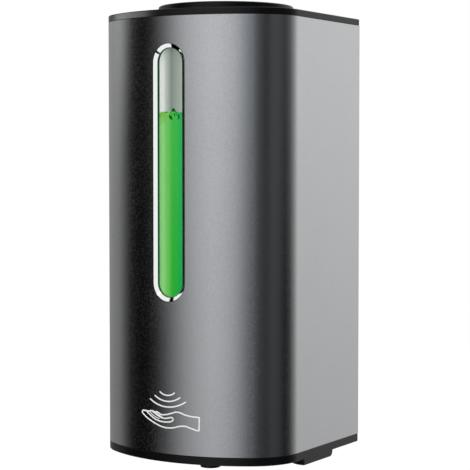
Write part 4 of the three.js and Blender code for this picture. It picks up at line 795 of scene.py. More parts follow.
def build_wall_bracket():
    """Wall plate with four hooks and countersunk holes."""
    corner, face_y, low = 6.0, -4.5, BRACKET_LOW.y
    x, z = BRACKET_HIGH.x - corner, BRACKET_HIGH.z - corner
    plan = []
    for k, (cx, cz) in enumerate(((x, z), (-x, z), (-x, -z), (x, -z))):
        plan += flat(arc(cx, cz, corner, 90 * k, 90 * k + 90, 10))
    made = mesh_object("wall_bracket_plate", *stack([[(x, y, z) for x, z in plan] for y in (0.0, face_y)]))
    hooks = [(x, z) for x in (-17, 17) for z in (-23, 23)]
    hook_half, lip_thick, lip_height = 5, 2.3, 11
    for x, z in hooks:
        left, right, top = x - hook_half, x + hook_half, z + lip_height
        lip = [(low, z), (low + lip_thick, z), (low + lip_thick, top), (low + lip_thick / 2, top),
               (low, top - 4)]
        combine(made, "UNION", [block((left, low, z), (right, -3.0, z + 3)),
                                stack([[(along, *spot) for spot in lip] for along in (left, right)])])
    screws = [(x, z) for x in (-22, 22) for z in (-41, 41)]
    hole, sink, holes = 2.25, 4.4, []
    for spot in screws:
        holes.append(cylinder("y", spot, hole, -8, 3, 40))
        holes.append(stack([[(x, y, z) for x, z in circle(spot, radius, 40)]
                            for radius, y in ((hole, face_y / 2), (sink, face_y), (sink, face_y - 1))]))
    combine(made, "DIFFERENCE", holes)
    soften(made, 0.3)
    piece("wall_bracket_plate", made, "moulded_matte", "wall_bracket", body="wall_bracket")


# window


def window_loop(half_width, depth):
    """A loop round the window, at a depth behind the front."""
    return [(x, front_y(x, depth), z) for x, z in stadium(half_width, CAP_LOW, CAP_HIGH)]


def window_ring(profile):
    """A ring round the window from (half width, depth behind the front) pairs."""
    return stack([window_loop(*pair) for pair in profile], closed=True)


def build_bezel():
    """Polished ring with a sloping face that follows the curved front."""
    half, deep = BEZEL_HALF, mm("bezel_depth")
    inner, flange = half - mm("bezel_slope"), half + BEZEL_FLANGE
    profile = [(inner, 3.0), (inner, deep + 0.06), (inner + 0.02, deep + 0.01), (inner + 0.06, deep - 0.05),
               (half - 0.14, 0.1), (half - 0.09, 0.06), (half - 0.04, 0.05), (half, 0.1), (half, 1.1),
               (flange, 1.1), (flange, 2.1), (half, 2.1), (half, 3.0)]
    piece("bezel_ring", window_ring(profile), "polished_chrome", "window_bezel", 32)


def build_lens_lip():
    """Thin dark lip in the gap between the bezel and the lens; its dark colour is painted shade of the gap.
    """
    inner, top, foot = BEZEL_HALF - mm("bezel_slope"), mm("bezel_depth") + 0.1, 2.95
    profile = [(inner - 0.015, foot), (inner - 0.015, top + 0.05), (inner - 0.05, top), (inner - 0.12, top),
               (inner - 0.18, top + 0.08), (inner - 0.21, top + 0.3), (inner - 0.21, foot)]
    piece("lens_seal_lip", window_ring(profile), "lens_lip")


def build_lens():
    """Clear plug with a convex face and a flange behind the bezel."""
    curve = mm("lens_radius")
    half_width, rear_half = BEZEL_HALF - mm("bezel_slope") - 0.25, 7.5
    step, rear, edge = 3.15, 4.15, 0.12

    def face_loop(width, depth):
        """A loop on the convex face, moved back by depth."""
        top = SLEEVE_LOW.y + mm("lens_recess") + curve + depth
        return [(x, top - math.sqrt(curve * curve - x * x), z) for x, z in stadium(width, CAP_LOW, CAP_HIGH)]

    loops = [face_loop(half_width * k / 10, 0) for k in range(10)]
    loops += [face_loop(half_width - edge, 0), face_loop(half_width, edge)]
    loops += [window_loop(*pair) for pair in ((half_width, step), (rear_half, step), (rear_half, rear))]
    loops += [window_loop(rear_half * k / 10, rear) for k in range(9, -1, -1)]
    piece("lens_plug", stack(loops, caps=False), "clear_lens", "sight_lens")


def sight_column(low_z, high_z, front_depth, back_depth, rise):
    """Upright column behind the window. Its ends follow the window's; rise lifts the sides of its top."""
    half, columns, rounding = SIGHT_HALF, 16, 0.999
    heights = []
    if low_z < CAP_LOW:
        heights += [CAP_LOW - half * math.cos(QUARTER * k / 12) * rounding for k in range(12)]
    low, high = max(low_z, CAP_LOW), min(high_z, CAP_HIGH)
    heights += [low + (high - low) * k / 16 for k in range(17)]
    if high_z > CAP_HIGH:
        heights += [CAP_HIGH + half * math.sin(QUARTER * k / 12) * rounding for k in range(1, 13)]
    loops = []
    for z in heights:
        lifted = rise if z == heights[-1] else 0
        off = max(CAP_LOW - z, z - CAP_HIGH, 0.0)
        wide = math.sqrt(max(half ** 2 - off ** 2, 0.0004))
        narrow = math.sqrt(max((half - 1.2) ** 2 - off ** 2, 0.0001))

        def point(x, depth, lift):
            return x, front_y(x, depth), z + lift * (x / half) ** 2

        turns = [2 * k / columns - 1 for k in range(columns + 1)]
        loops.append([point(wide * turn, front_depth, lifted) for turn in turns]
                     + [point(narrow, front_depth + 0.06, 0)]
                     + [point(narrow * turn, back_depth, lifted) for turn in reversed(turns)]
                     + [point(-narrow, front_depth + 0.06, 0)])
    return stack(loops)


# across, above the soap's surface (below it where negative), and radius
BUBBLES = [(0.7, 1.4, 0.85), (0.1, 0.95, 0.42), (1.7, 0.75, 0.36), (-0.7, -1.9, 0.85), (-1.3, -1.2, 0.5),
           (-0.2, -2.6, 0.5), (3.2, -1.2, 0.55), (3.4, -1.9, 0.55), (3.0, -2.6, 0.42), (2.5, -0.7, 0.36),
           (-3.4, 0.3, 0.36), (-2.6, 0.45, 0.36), (1.2, -0.5, 0.42), (2.2, 0.2, 0.36), (-0.6, -0.1, 0.34),
           (4.6, -0.4, 0.36)]


def build_soap():
    """Soap in the tank, with a raised edge, the column of soap behind the lens, and bubbles near its top."""
    level, foot = SOAP_HIGH.z, SOAP_LOW.z
    filling = stack(section_rows([
        (8, 9.5, 2.5, foot), (7.6, 9.1, 2.5, foot + 0.4), (7.6, 9.1, 2.5, level - 0.2),
        (8.0, 9.5, 2.4, level - 0.5), (9.4, 10.9, 2.2, level - 0.7)]))
    column = sight_column(-60, level + 0.5, 4.17, 8.5, -1.7)
    piece("soap_filling", together(filling, column), "soap_green", "liquid_soap")

    chance = random.Random(7)
    bubbles = list(BUBBLES)
    for _ in range(bpy.context.scene.dispenser_sizes.bubble_count):
        bubbles.append((chance.uniform(-4.5, 5.4), -0.4 - 3.4 * chance.random() ** 2,
                        chance.uniform(0.12, 0.22)))
    flatness, bodies = 0.035, []
    for x, rise, radius in bubbles:
        y, z = front_y(x, 4.19), level - 0.4 + rise
        profile = [(radius * math.sin(turn), z - radius * math.cos(turn))
                   for turn in (math.pi * k / 8 for k in range(9))]
        vertices, faces = lathe(profile, (x, y), 16)
        bodies.append(([(vx, y + (vy - y) * flatness / radius, vz) for vx, vy, vz in vertices], faces))
    piece("soap_bubbles", together(*bodies), "bubble_skin", sharp=60)


def build_tank_wall():
    """The milky tank wall that shows above the soap."""
    piece("tank_sight_wall", sight_column(SOAP_HIGH.z - 0.7, CAP_HIGH + 10, 4.22, 5.4, 0.0), "empty_tank")


# filler


def build_lid():
    """Round filler lid with a rounded rim, a shallow dish and a hollow plug, and its seal."""
    top, plug_foot, under = LID_HIGH.z, LID_LOW.z, SLEEVE_HIGH.z + 3.5
    radius, plug, edge = LID_HIGH.x, 25.4, 0.8
    low, high = LID_SEAL_LOW.z, LID_SEAL_HIGH.z
    profile = [(0, top - 1.9), (plug - 2, top - 1.9), (plug - 2, plug_foot + 0.2), (plug - 1.8, plug_foot),
               (plug - 0.3, plug_foot), (plug, plug_foot + 0.3), (plug, low - SEAT_GAP),
               (plug - 1, low - SEAT_GAP), (plug - 1, high + SEAT_GAP), (plug, high + SEAT_GAP),
               (plug, under), (radius - 0.3, under), (radius - 0.08, under + 0.08), (radius, under + 0.3)]
    profile += [(radius - inward, top - down) for inward, down in edge_steps(edge, 5)]
    profile += [(radius - 2.2, top), (radius - 2.6, top - 0.1), (radius - 3.1, top - 0.3), (0, top - 0.3)]
    piece("filler_lid_cap", lathe(profile, LID_CENTRE, 144), "moulded_satin", "fill_lid",
          body="filler_lid")

    inner, outer = plug - 0.85, LID_SEAL_HIGH.x
    profile = [(inner, low + 0.2), (inner + 0.2, low), (outer - 0.45, low), (outer - 0.12, low + 0.25),
               (outer, (low + high) / 2), (outer - 0.12, high - 0.25), (outer - 0.45, high),
               (inner + 0.2, high), (inner, high - 0.2), (inner, low + 0.2)]
    piece("lid_seal_ring", lathe(profile, LID_CENTRE, 128), "silicone_rubber", "lid_seal", 50,
          "filler_lid")


def build_filler_neck():
    """Tank cover with its round neck."""
    foot, plate_low, plate_high, top = NECK_LOW.z, NECK_LOW.z + 2.4, NECK_LOW.z + 4.4, NECK_HIGH.z
    inner, outer = 26.0, 28.0
    plate, lip_in, lip_out = (5.25, 7.6, 3), (9.1, 12, 2), (7.6, 10.5, 2)
    loops = section_rows([(*plate, plate_low), (*plate, plate_high)])
    loops += round_rows(LID_CENTRE, [
        (outer, plate_high), (outer, top - 0.3), (outer - 0.3, top), (inner + 0.5, top),
        (inner + 0.12, top - 0.15), (inner, top - 0.5), (inner, plate_low)])
    loops += section_rows([(*lip_in, plate_low), (*lip_in, foot), (*lip_out, foot), (*lip_out, plate_low)])
    piece("tank_cover_neck", stack(loops, closed=True), "milky_plastic", "filler_neck")


# underside


def build_nozzle():
    """Spout with a rounded mouth, and the duckbill valve inside it."""
    tip, high, seat = NOZZLE_LOW.z, NOZZLE_HIGH.z, FLANGE_SEAT
    bore, mouth, outer, flange, tube = 1.5, 3.6, 4.9, 7.0, 2.6
    profile = [(bore, tip + 7), (mouth, tip + 7), (mouth, tip + 0.35), (mouth + 0.1, tip + 0.1),
               (mouth + 0.35, tip), (outer - 0.5, tip), (outer - 0.28, tip + 0.06),
               (outer - 0.08, tip + 0.22), (outer, tip + 0.5), (outer, seat), (flange, seat),
               (flange, seat + 2), (tube, seat + 2), (tube, high), (bore, high), (bore, tip + 7)]
    piece("spout", lathe(profile, NOZZLE_CENTRE, 72), "moulded_gloss", "nozzle")

    top, foot = VALVE_HIGH.z, VALVE_LOW.z
    profile = [(1.65, top), (0.3, foot + 0.9), (0.3, foot), (0.9, foot), (1.2, foot + 0.25), (2.5, top - 2.3),
               (2.55, top - 1.4), (3.3, top - 1.3), (3.45, top - 1.1), (3.45, top - 0.1), (3.35, top),
               (1.65, top)]
    piece("duckbill_valve", lathe(profile, NOZZLE_CENTRE, 48), "silicone_rubber",
          "nozzle_valve", 45)


def build_button():
    """Power button with a shallow dish and a softened rim."""
    foot, high, seat = BUTTON_LOW.z, BUTTON_HIGH.z, FLANGE_SEAT
    dish, deep, outer, flange, stem = 3.3, 0.5, 4.0, 5.4, 2.0
    profile = [(dish * k / 6, foot + deep * (1 - (k / 6) ** 2)) for k in range(6)]
    profile += [(dish, foot + 0.06), (dish + 0.25, foot), (outer - 0.2, foot + 0.08),
                (outer - 0.05, foot + 0.28), (outer, foot + 0.55), (outer, seat), (flange, seat),
                (flange, seat + 1), (stem, seat + 1), (stem, high), (0, high)]
    piece("power_push_button", lathe(profile, BUTTON_CENTRE, 64), "moulded_satin",
          "power_button", body="push_button")


def build_sensor_window():
    """Dark infrared window with a rounded lower edge."""
    foot, high = SENSOR_LOW.z, SENSOR_HIGH.z
    flange, edge = 3, 0.4
    rows = [(-2 * inward, foot + down) for inward, down in reversed(edge_steps(edge))]
    rows += [(0, high - 1), (flange, high - 1), (flange, high)]
    loops = [at_height(lying_stadium(SENSOR_LENGTH + more, SENSOR_WIDTH + more), z) for more, z in rows]
    piece("infrared_window", stack(loops), "infrared_acrylic", "sensor_window")


def build_battery_door():
    """Battery door with its knuckle and a finger notch."""
    low, half, rear, top = DOOR_LOW, DOOR_HIGH.x, -12.6, PLATE_FOOT + 2
    made = mesh_object("battery_door_panel", *block((-half, low.y, PLATE_FOOT), (half, rear, top)))
    combine(made, "UNION", [
        block((-KNUCKLE_HALF, rear - 3, PLATE_FOOT), (KNUCKLE_HALF, HINGE[0], top)),
        cylinder("x", HINGE, KNUCKLE, -KNUCKLE_HALF, KNUCKLE_HALF, 40),
    ])
    combine(made, "DIFFERENCE", [
        cylinder("x", HINGE, PIN_HOLE, -60, 60, 24),
        cylinder("z", (0, low.y), 5.0, PLATE_FOOT - 3, PLATE_FOOT + 0.9),
    ])
    soften(made, 0.22, 45)
    piece("battery_door_panel", made, "moulded_satin", "battery_door", body="battery_door")


def build_screws():
    """Base and back cover screws with cross recesses, one piece for each CAD screw."""
    height, slot_half, slot_foot = 1.8, 0.3, 0.75
    profile = [(0, -9), (1.0, -9), (1.5, -8.3), (1.5, 0), (2.6, 0), (2.8, 0.2), (2.8, 0.7), (2.7, 1.15),
               (2.4, 1.5), (1.8, 1.72), (1.0, height), (0, height)]
    pattern = mesh_object("screw_pattern", *lathe(profile, (0, 0), 40))
    combine(pattern, "DIFFERENCE", [block((-1.6, -slot_half, slot_foot), (1.6, slot_half, 3)),
                                    block((-slot_half, -1.6, slot_foot), (slot_half, 1.6, 3))])
    shade(pattern, 38)
    for name in [f"base_screw_{k}" for k in range(1, 5)] + [f"back_screw_{k}" for k in range(1, 3)]:
        low, high = box_mm(name)
        middle = (low + high) / 2
        made = placed(name + "_head", pattern.data.copy())
        for vertex in made.data.vertices:
            x, y, z = vertex.co
            if name.startswith("base"):
                vertex.co = (middle.x * MM + x, middle.y * MM - y, (low.z + height) * MM - z)
            else:
                vertex.co = (middle.x * MM + x, (high.y - height) * MM + z, middle.z * MM - y)
        made.data.update()
        piece(name + "_head", made, "zinc_plate", name, 38)
    bpy.data.objects.remove(pattern)


# battery bay


def build_cells():
    """Four AA cells with wrap, shoulder and contact nub, each next one the other way up."""
    for k in range(1, 5):
        name = f"battery_cell_{k}"
        low, high = box_mm(name)
        middle = (low + high) / 2
        radius, length = 7.25, high.z - low.z
        profile = [(0, 0.1), (5.2, 0.1), (5.6, 0.0), (6.8, 0.0), (7.15, 0.12), (radius, 0.45),
                   (radius, length - 1.5), (7.1, length - 1.15), (6.7, length - 1.0), (5.8, length - 1.1),
                   (2.9, length - 1.1), (2.75, length - 0.9), (2.7, length - 0.15), (2.5, length),
                   (0, length)]
        points = [(r, low.z + z if k % 2 == 1 else high.z - z) for r, z in profile]
        piece(name + "_wrap", lathe(points, (middle.x, middle.y), 48), "cell_label", name)


def spring_tube(centre, foot, height, turns, wide, narrow, wire):
    """Vertices and faces of a conical contact spring of round wire."""
    loops, steps, sides = [], int(turns * 28), 10
    for k in range(steps + 1):
        share = k / steps
        turn, radius = math.tau * turns * share, wide + (narrow - wide) * share
        out = Vector((math.cos(turn), math.sin(turn), 0))
        spot = Vector((*centre, foot + wire + (height - 2 * wire) * share)) + out * radius
        loops.append([tuple(spot + out * a + Vector((0, 0, b))) for a, b in circle((0, 0), wire, sides)])
    return stack(loops)


def build_door_contacts():
    """Door contacts: a plate over two cells with a spring for one of them."""
    for name in ("door_contact_left", "door_contact_right"):
        low, high = box_mm(name)
        thin = low.z + 0.4
        plate = mesh_object(name + "_plate", *block(low, (high.x, high.y, thin)))
        soften(plate, 0.1)
        centre = (low.x + 5.4, (low.y + high.y) / 2)
        spring = spring_tube(centre, thin - 0.05, high.z - thin, 2.5, 3.6, 2.4, 0.3)
        piece(name + "_spring", together(taken_apart(plate), spring), "zinc_plate", name,
              body="battery_door")


# printed sign


# places on the front as (across, up from the sleeve's foot)
HAND = [(-15.8, 17.7), (-15.6, 18.5), (-14.5, 18.8), (-11.9, 18.7), (-9.6, 19.1), (-8.0, 18.7), (-6.7, 18.9),
        (-5.2, 18.3), (-3.9, 17.8), (-1.1, 18.1), (1.7, 18.9), (3.9, 19.6), (6.3, 19.4), (8.6, 18.6),
        (11.5, 18.1), (14.4, 17.9), (15.7, 17.8)]
PALM = [(-15.8, 17.7), (-13.5, 16.1), (-9.8, 14.3), (-5.0, 12.6), (-1.6, 12.0), (2.1, 12.2), (5.6, 13.1),
        (8.6, 13.4), (11.3, 12.7), (14.4, 11.8)]
THUMB = [(-12.6, 18.3), (-9.6, 16.4), (-6.6, 15.1), (-3.4, 14.6), (-0.2, 14.7), (1.9, 15.3), (2.4, 16.2),
         (1.4, 16.9), (-1.5, 16.3), (-3.8, 16.4), (-6.6, 17.5), (-9.4, 18.9)]
CUFF = [[(15.7, 17.8), (15.6, 14.8), (15.5, 11.8)], [(14.4, 11.8), (15.5, 11.8)]]
FINGERS = [[(-10.9, 18.5), (-8.4, 16.9), (-5.3, 15.8)], [(-7.1, 18.5), (-5.3, 17.5), (-3.4, 16.6)]]
# half width, drop of the ends' middle, and height of each wave's middle
WAVES = [(9.7, 2.9, 21.6), (6.85, 2.15, 24.2), (3.95, 1.35, 26.95)]


def smooth_line(points, steps=8):
    """Points on a smooth curve through the given ones."""
    ends = [points[0], *points, points[-1]]
    found = []
    for k in range(1, len(ends) - 2):
        p0, p1, p2, p3 = (Vector(p) for p in ends[k - 1:k + 3])
        for step in range(steps):
            t = step / steps
            found.append(0.5 * (2 * p1 + (p2 - p0) * t + (2 * p0 - 5 * p1 + 4 * p2 - p3) * t * t
                                + (3 * p1 - p0 - 3 * p2 + p3) * t ** 3))
    found.append(Vector(points[-1]))
    return found


def wave_line(half_width, drop, low, middle=-0.8, steps=24):
    """Points on one wave of the sign, which is an arc."""
    radius = (half_width ** 2 + drop ** 2) / (2 * drop)
    angles = [math.asin(half_width / radius) * (2 * k / steps - 1) for k in range(steps + 1)]
    return [Vector((middle + radius * math.sin(a), low + radius - radius * math.cos(a))) for a in angles]


def stroke_outline(line, width):
    """Closed outline of a stroke with round ends of seven points each: right side, end, left side, start."""
    sides = []
    for k in range(len(line)):
        way = (line[min(k + 1, len(line) - 1)] - line[max(k - 1, 0)]).normalized()
        sides.append(Vector((-way.y, way.x)) * width / 2)

    def round_end(spot, side):
        turns = [math.pi * k / 8 for k in range(1, 8)]
        return [spot + Vector((side.x * math.cos(a) - side.y * math.sin(a),
                               side.x * math.sin(a) + side.y * math.cos(a))) for a in turns]

    right = [p - side for p, side in zip(line, sides)]
    left = [p + side for p, side in zip(line, sides)]
    return right + round_end(line[-1], -sides[-1]) + left[::-1] + round_end(line[0], sides[0])


def build_sign():
    """Sign printed on the front: an open hand under three waves."""
    _, front, _, arc_y, _, _ = section_facts()
    width, print_half = mm("sign_stroke"), 0.05

    def on_front(p, lift):
        turn = p.x / front
        return ((front + lift) * math.sin(turn), arc_y - (front + lift) * math.cos(turn), SLEEVE_LOW.z + p.y)

    lines = [smooth_line(HAND), smooth_line(PALM), smooth_line(THUMB)]
    lines += [[Vector(p) for p in line] for line in CUFF] + [wave_line(*wave) for wave in WAVES]
    bodies = []
    strokes = [(line, width) for line in lines] + [(smooth_line(line), width * 0.6) for line in FINGERS]
    for line, thickness in strokes:
        outline = stroke_outline(line, thickness)
        n, count = len(line), len(outline)
        faces = [(k, (k + 1) % count, count + (k + 1) % count, count + k) for k in range(count)]
        strip = [(k, k + 1, 2 * n + 5 - k, 2 * n + 6 - k) for k in range(n - 1)]
        for face in strip + [tuple(range(n - 1, n + 8)), (*range(2 * n + 6, 2 * n + 14), 0)]:
            faces.append(face)
            faces.append(tuple(count + v for v in reversed(face)))
        bodies.append(([on_front(p, lift) for lift in (print_half, -print_half) for p in outline], faces))
    made = mesh_object("printed_sign", *together(*bodies))
    for face in made.data.polygons:
        face.use_smooth = False
    settle(made, "printed_sign", "white_print")


# what stays as CAD


INNER_PARTS = {
    "moulded_matte": ["chassis", "motor_end_cap", "battery_box"],
    "silicone_rubber": ["window_gasket", "tank_gasket", "pump_gasket", "shaft_seal", "inlet_hose",
                        "outlet_hose"],
    "milky_plastic": ["tank"],
    "pump_acetal": ["pump_body", "pump_cover", "board_connector"],
    "gear_nylon": ["drive_gear", "idler_gear", "switch_plunger"],
    "zinc_plate": ["idler_pin", "motor_can", "motor_shaft", "motor_armature", "top_contact_left",
                   "top_contact_middle", "top_contact_right", "door_hinge_pin", "pump_screw_1",
                   "pump_screw_2"],
    "solder_mask": ["control_board"],
    "chip_epoxy": ["control_chip", "capacitor", "tact_switch"],
    "infrared_acrylic": ["ir_emitter", "ir_receiver"],
}


def dress_inner_parts():
    """Gives every CAD node that still shows its own finish."""
    for look, names in INNER_PARTS.items():
        for name in names:
            for spot in NODES[name].material_slots:
                spot.material = finish(look)


# stage


# levels of the light screen at azimuths in degrees, for its lower and its upper part
STUDIO_LOW = [
    (-180, 0.8), (-150, 0.28), (-120, 0.29), (-104, 0.315), (-92, 0.29), (-85, 0.25), (-78, 0.12),
    (-70, 0.020), (-60, 0.005), (-50, 0.006), (-42, 0.030), (-34, 0.10), (-26, 0.23), (-16, 0.42),
    (-6, 0.56), (3, 0.645), (12, 0.60), (20, 0.48), (27, 0.265), (31, 0.155), (34, 0.12), (46, 0.062),
    (60, 0.044), (74, 0.072), (88, 0.058), (104, 0.018), (118, 0.06), (132, 0.30), (144, 0.66), (180, 0.72),
]
STUDIO_HIGH = [
    (-180, 0.8), (-150, 0.31), (-120, 0.31), (-104, 0.335), (-92, 0.36), (-86, 0.49), (-78, 0.40),
    (-72, 0.16), (-66, 0.04), (-58, 0.011), (-50, 0.013), (-42, 0.048), (-34, 0.155), (-26, 0.31),
    (-16, 0.50), (-6, 0.59), (3, 0.65), (12, 0.62), (20, 0.54), (27, 0.345), (31, 0.22), (34, 0.175),
    (40, 0.115), (46, 0.075), (60, 0.037), (74, 0.072), (88, 0.072), (104, 0.047), (118, 0.11), (132, 0.33),
    (144, 0.67), (180, 0.72),
]
# brightness of the white cards; distance of the upright ones from the window and its y, in metres
CARD_LEVEL, CARD_DISTANCE, WINDOW_Y = 0.97, 1.2, -0.095


def stage_material(name):
    material = bpy.data.materials.new(name)
    material.use_nodes = True
    return material, material.node_tree


def bands_round(tree, around, bands):
    """Light levels by azimuth. The light from straight ahead and from the right is slightly cool."""
    stops = []
    for azimuth, level in bands:
        cool = 1.12 if 25 < azimuth < 110 else 1.035 if abs(azimuth) < 40 else 1.0
        stops.append(((azimuth + 180) / 360, (level, level * (0.4 * cool + 0.6), level * cool)))
    return colour_ramp(tree, around, stops)


def studio_surround():
    """A curved light screen round the object, out of the camera's sight: bright and dark upright bands."""
    radius, foot, top, steps = 1500.0, -1300.0, 4800.0, 96
    plan = [(y, -x) for x, y in circle((0, 0), radius, steps)]
    screen = mesh_object("studio_surround", *stack([at_height(plan, foot), at_height(plan, top)], caps=False))
    material, tree = stage_material("light_screen")
    tree.nodes.clear()
    place = add(tree, "SeparateXYZ", {"Vector": add(tree, "NewGeometry").outputs["Position"]}).outputs
    ahead = reckon(tree, "MULTIPLY", place["Y"], -1)
    around = span(tree, reckon(tree, "ARCTAN2", place["X"], ahead), -math.pi, math.pi)
    share = mixed(tree, span(tree, around, 0.33, 0.36), span_mm(tree, place["Z"], 20, 300),
                  span_mm(tree, place["Z"], -200, 170))
    level = mixed(tree, share, bands_round(tree, around, STUDIO_LOW), bands_round(tree, around, STUDIO_HIGH))
    plain = mixed(tree, add(tree, "LightPath").outputs["Is Diffuse Ray"], level, (0.75, 0.75, 0.75))
    strength = span(tree, place["Z"], -0.60, 0.16, 0.82, 1.28)
    light = add(tree, "Emission", {"Color": plain, "Strength": strength})
    add(tree, "OutputMaterial", {"Surface": light.outputs["Emission"]})
    screen.data.materials.append(material)
    screen.visible_camera = False
    screen.visible_transmission = False
    return screen


def light_card(name, place, turn, width, height, receivers, level=CARD_LEVEL):
    """A lamp the size of a card, in metres, that shines only on the given pieces."""
    lamp = bpy.data.lights.new(name, "AREA")
    lamp.shape = "RECTANGLE"
    lamp.size, lamp.size_y = width, height
    lamp.energy = level * math.pi * width * height
    lamp.color = (0.965, 1.0, 0.97)
    card = placed(name, lamp)
    card.location, card.rotation_euler = place, turn
    card.light_linking.receiver_collection = receivers


def upright_card(name, azimuth, low, high, width, receivers, level=CARD_LEVEL):
    """A standing card in front of the window, at an azimuth in degrees from straight ahead."""
    turn = math.radians(azimuth)
    place = (CARD_DISTANCE * math.sin(turn), WINDOW_Y - CARD_DISTANCE * math.cos(turn), (low + high) / 2)
    light_card(name, place, (QUARTER, 0, turn), width, high - low, receivers, level)


def receivers_of(name, pieces):
    """A collection that names the pieces a card shines on."""
    group = bpy.data.collections.new(name)
    for each in pieces:
        group.objects.link(bpy.data.objects[each])
    return group


def trim_cards(screen, floor):
    """White cards round the polished bezel, and one strip for the top cover's near corner."""
    bezel = receivers_of("bezel_only", ["bezel_ring"])
    others = receivers_of("all_but_window", ["bezel_ring", "lens_plug"])
    for left_out in others.collection_objects:
        left_out.light_linking.link_state = "EXCLUDE"
    screen.light_linking.receiver_collection = others
    floor.light_linking.receiver_collection = others
    upright_card("card_right", 22, -0.755, 1.15, 0.60, bezel)
    upright_card("card_left_high", -82, 0.12, 0.93, 0.42, bezel)
    upright_card("card_left_low", -90, -0.42, -0.08, 0.17, bezel)
    light_card("card_below", (-0.165, -0.5625, -0.60), (math.pi, 0, 0), 0.93, 0.535, bezel)
    light_card("card_above", (-0.175, -0.975, 1.00), (0, 0, 0), 1.25, 0.95, bezel)
    cover = receivers_of("top_cover_only", ["top_cover_shell"])
    upright_card("strip_for_top_cover", -73, -0.10, 0.50, 0.86, cover, 4.0)


def shows_background(tree, path):
    """1 for the rays that see the background: the camera's, reflected ones and those through the lens."""
    first = reckon(tree, "MAXIMUM", path["Is Camera Ray"], path["Is Glossy Ray"])
    return reckon(tree, "MAXIMUM", first, path["Is Transmission Ray"])


def studio_floor(colour):
    """Plain pale floor well below the wall-mounted object. It keeps a faint shadow."""
    half, level = 6000.0, -850.0
    plan = [(-half, -half), (half, -half), (half, half), (-half, half)]
    floor = mesh_object("floor", at_height(plan, level), [(0, 1, 2, 3)])
    material, tree = stage_material("pale_floor")
    shader = tree.nodes["Principled BSDF"]
    plug(tree, shader, {"Base Color": (*colour, 1), "Roughness": 0.9})
    path = add(tree, "LightPath").outputs
    shine = mixed(tree, path["Is Glossy Ray"], colour, (0.36, 0.36, 0.365))
    bright = add(tree, "Emission", {"Color": shine, "Strength": 1.06})
    share = reckon(tree, "MULTIPLY_ADD", path["Is Camera Ray"], -0.1, shows_background(tree, path))
    blend = add(tree, "MixShader", {0: share, 1: shader.outputs["BSDF"], 2: bright.outputs["Emission"]})
    plug(tree, tree.nodes["Material Output"], {"Surface": blend.outputs["Shader"]})
    floor.data.materials.append(material)
    return floor


def aim(made, place, way):
    """Puts a camera or a lamp in its place and points it along a way."""
    made.location = place
    made.rotation_mode = "QUATERNION"
    made.rotation_quaternion = Vector(way).to_track_quat("-Z", "Y")


def build_stage():
    """Camera, world, light screen, soft lamp and floor."""
    scene = bpy.context.scene
    scene.view_settings.view_transform = "Standard"
    camera = placed("photo_camera", bpy.data.cameras.new("photo_camera"))
    camera.data.sensor_width = 36
    camera.data.lens = 122.03
    camera.data.clip_start, camera.data.clip_end = 0.01, 50
    aim(camera, (0.39744, -0.70361, 0.01166), (-0.51112, 0.85815, -0.04829))
    scene.camera = camera

    scene.world = bpy.data.worlds.new("studio")
    scene.world.use_nodes = True
    tree = scene.world.node_tree
    shown = shows_background(tree, add(tree, "LightPath").outputs)
    plug(tree, tree.nodes["Background"], {"Color": (*tone("background"), 1),
                                          "Strength": span(tree, shown, 0.0, 1.0, 0.8, 1.0)})

    lamp = bpy.data.lights.new("soft_top_lamp", "AREA")
    lamp.shape, lamp.size, lamp.energy = "DISK", 1.2, 9
    soft_lamp = placed("soft_top_lamp", lamp)
    soft_lamp.visible_glossy = False
    aim(soft_lamp, (-0.5, -0.9, 1.3), (0.5, 0.9, -1.3))

    trim_cards(studio_surround(), studio_floor(tone("background")))
    # The bezel's slopes reflect the dark gap round the lens, not the painted glow behind it.
    for name in ("lens_plug", "soap_filling", "tank_sight_wall"):
        bpy.data.objects[name].visible_glossy = False


# operators


class DISPENSER_OT_stage(bpy.types.Operator):
    """Make the camera, the lights and the floor"""
    bl_idname = "dispenser.stage"
    bl_label = "Stage"

    def execute(self, context):
        build_stage()
        return {"FINISHED"}


class DISPENSER_OT_sleeve(bpy.types.Operator):
    """Make the steel sleeve"""
    bl_idname = "dispenser.sleeve"
    bl_label = "Steel sleeve"

    def execute(self, context):
        build_sleeve()
        return {"FINISHED"}


class DISPENSER_OT_covers(bpy.types.Operator):
    """Make the top cover, the base cover and the back cover"""
    bl_idname = "dispenser.covers"
    bl_label = "Covers"

    def execute(self, context):
        build_top_cover()
        build_base_cover()
        build_back_cover()
        return {"FINISHED"}


class DISPENSER_OT_bracket(bpy.types.Operator):
    """Make the wall bracket"""
    bl_idname = "dispenser.bracket"
    bl_label = "Wall bracket"

    def execute(self, context):
        build_wall_bracket()
        return {"FINISHED"}


class DISPENSER_OT_window(bpy.types.Operator):
    """Make the window's bezel and lens"""
    bl_idname = "dispenser.window"
    bl_label = "Sight window"

    def execute(self, context):
        build_bezel()
        build_lens_lip()
        build_lens()
        return {"FINISHED"}


class DISPENSER_OT_soap(bpy.types.Operator):
    """Make the soap, its bubbles and the tank wall above it"""
    bl_idname = "dispenser.soap"
    bl_label = "Soap"

    def execute(self, context):
        build_soap()
        build_tank_wall()
        return {"FINISHED"}


class DISPENSER_OT_filler(bpy.types.Operator):
    """Make the filler lid, its seal and the filler neck"""
    bl_idname = "dispenser.filler"
    bl_label = "Filler"

    def execute(self, context):
        build_lid()
        build_filler_neck()
        return {"FINISHED"}


class DISPENSER_OT_underside(bpy.types.Operator):
    """Make the spout, the power button and the infrared window"""
    bl_idname = "dispenser.underside"
    bl_label = "Underside"

    def execute(self, context):
        build_nozzle()
        build_button()
        build_sensor_window()
        return {"FINISHED"}


class DISPENSER_OT_battery_door(bpy.types.Operator):
    """Make the battery door and its contacts"""
    bl_idname = "dispenser.battery_door"
    bl_label = "Battery door"

    def execute(self, context):
        build_battery_door()
        build_door_contacts()
        return {"FINISHED"}


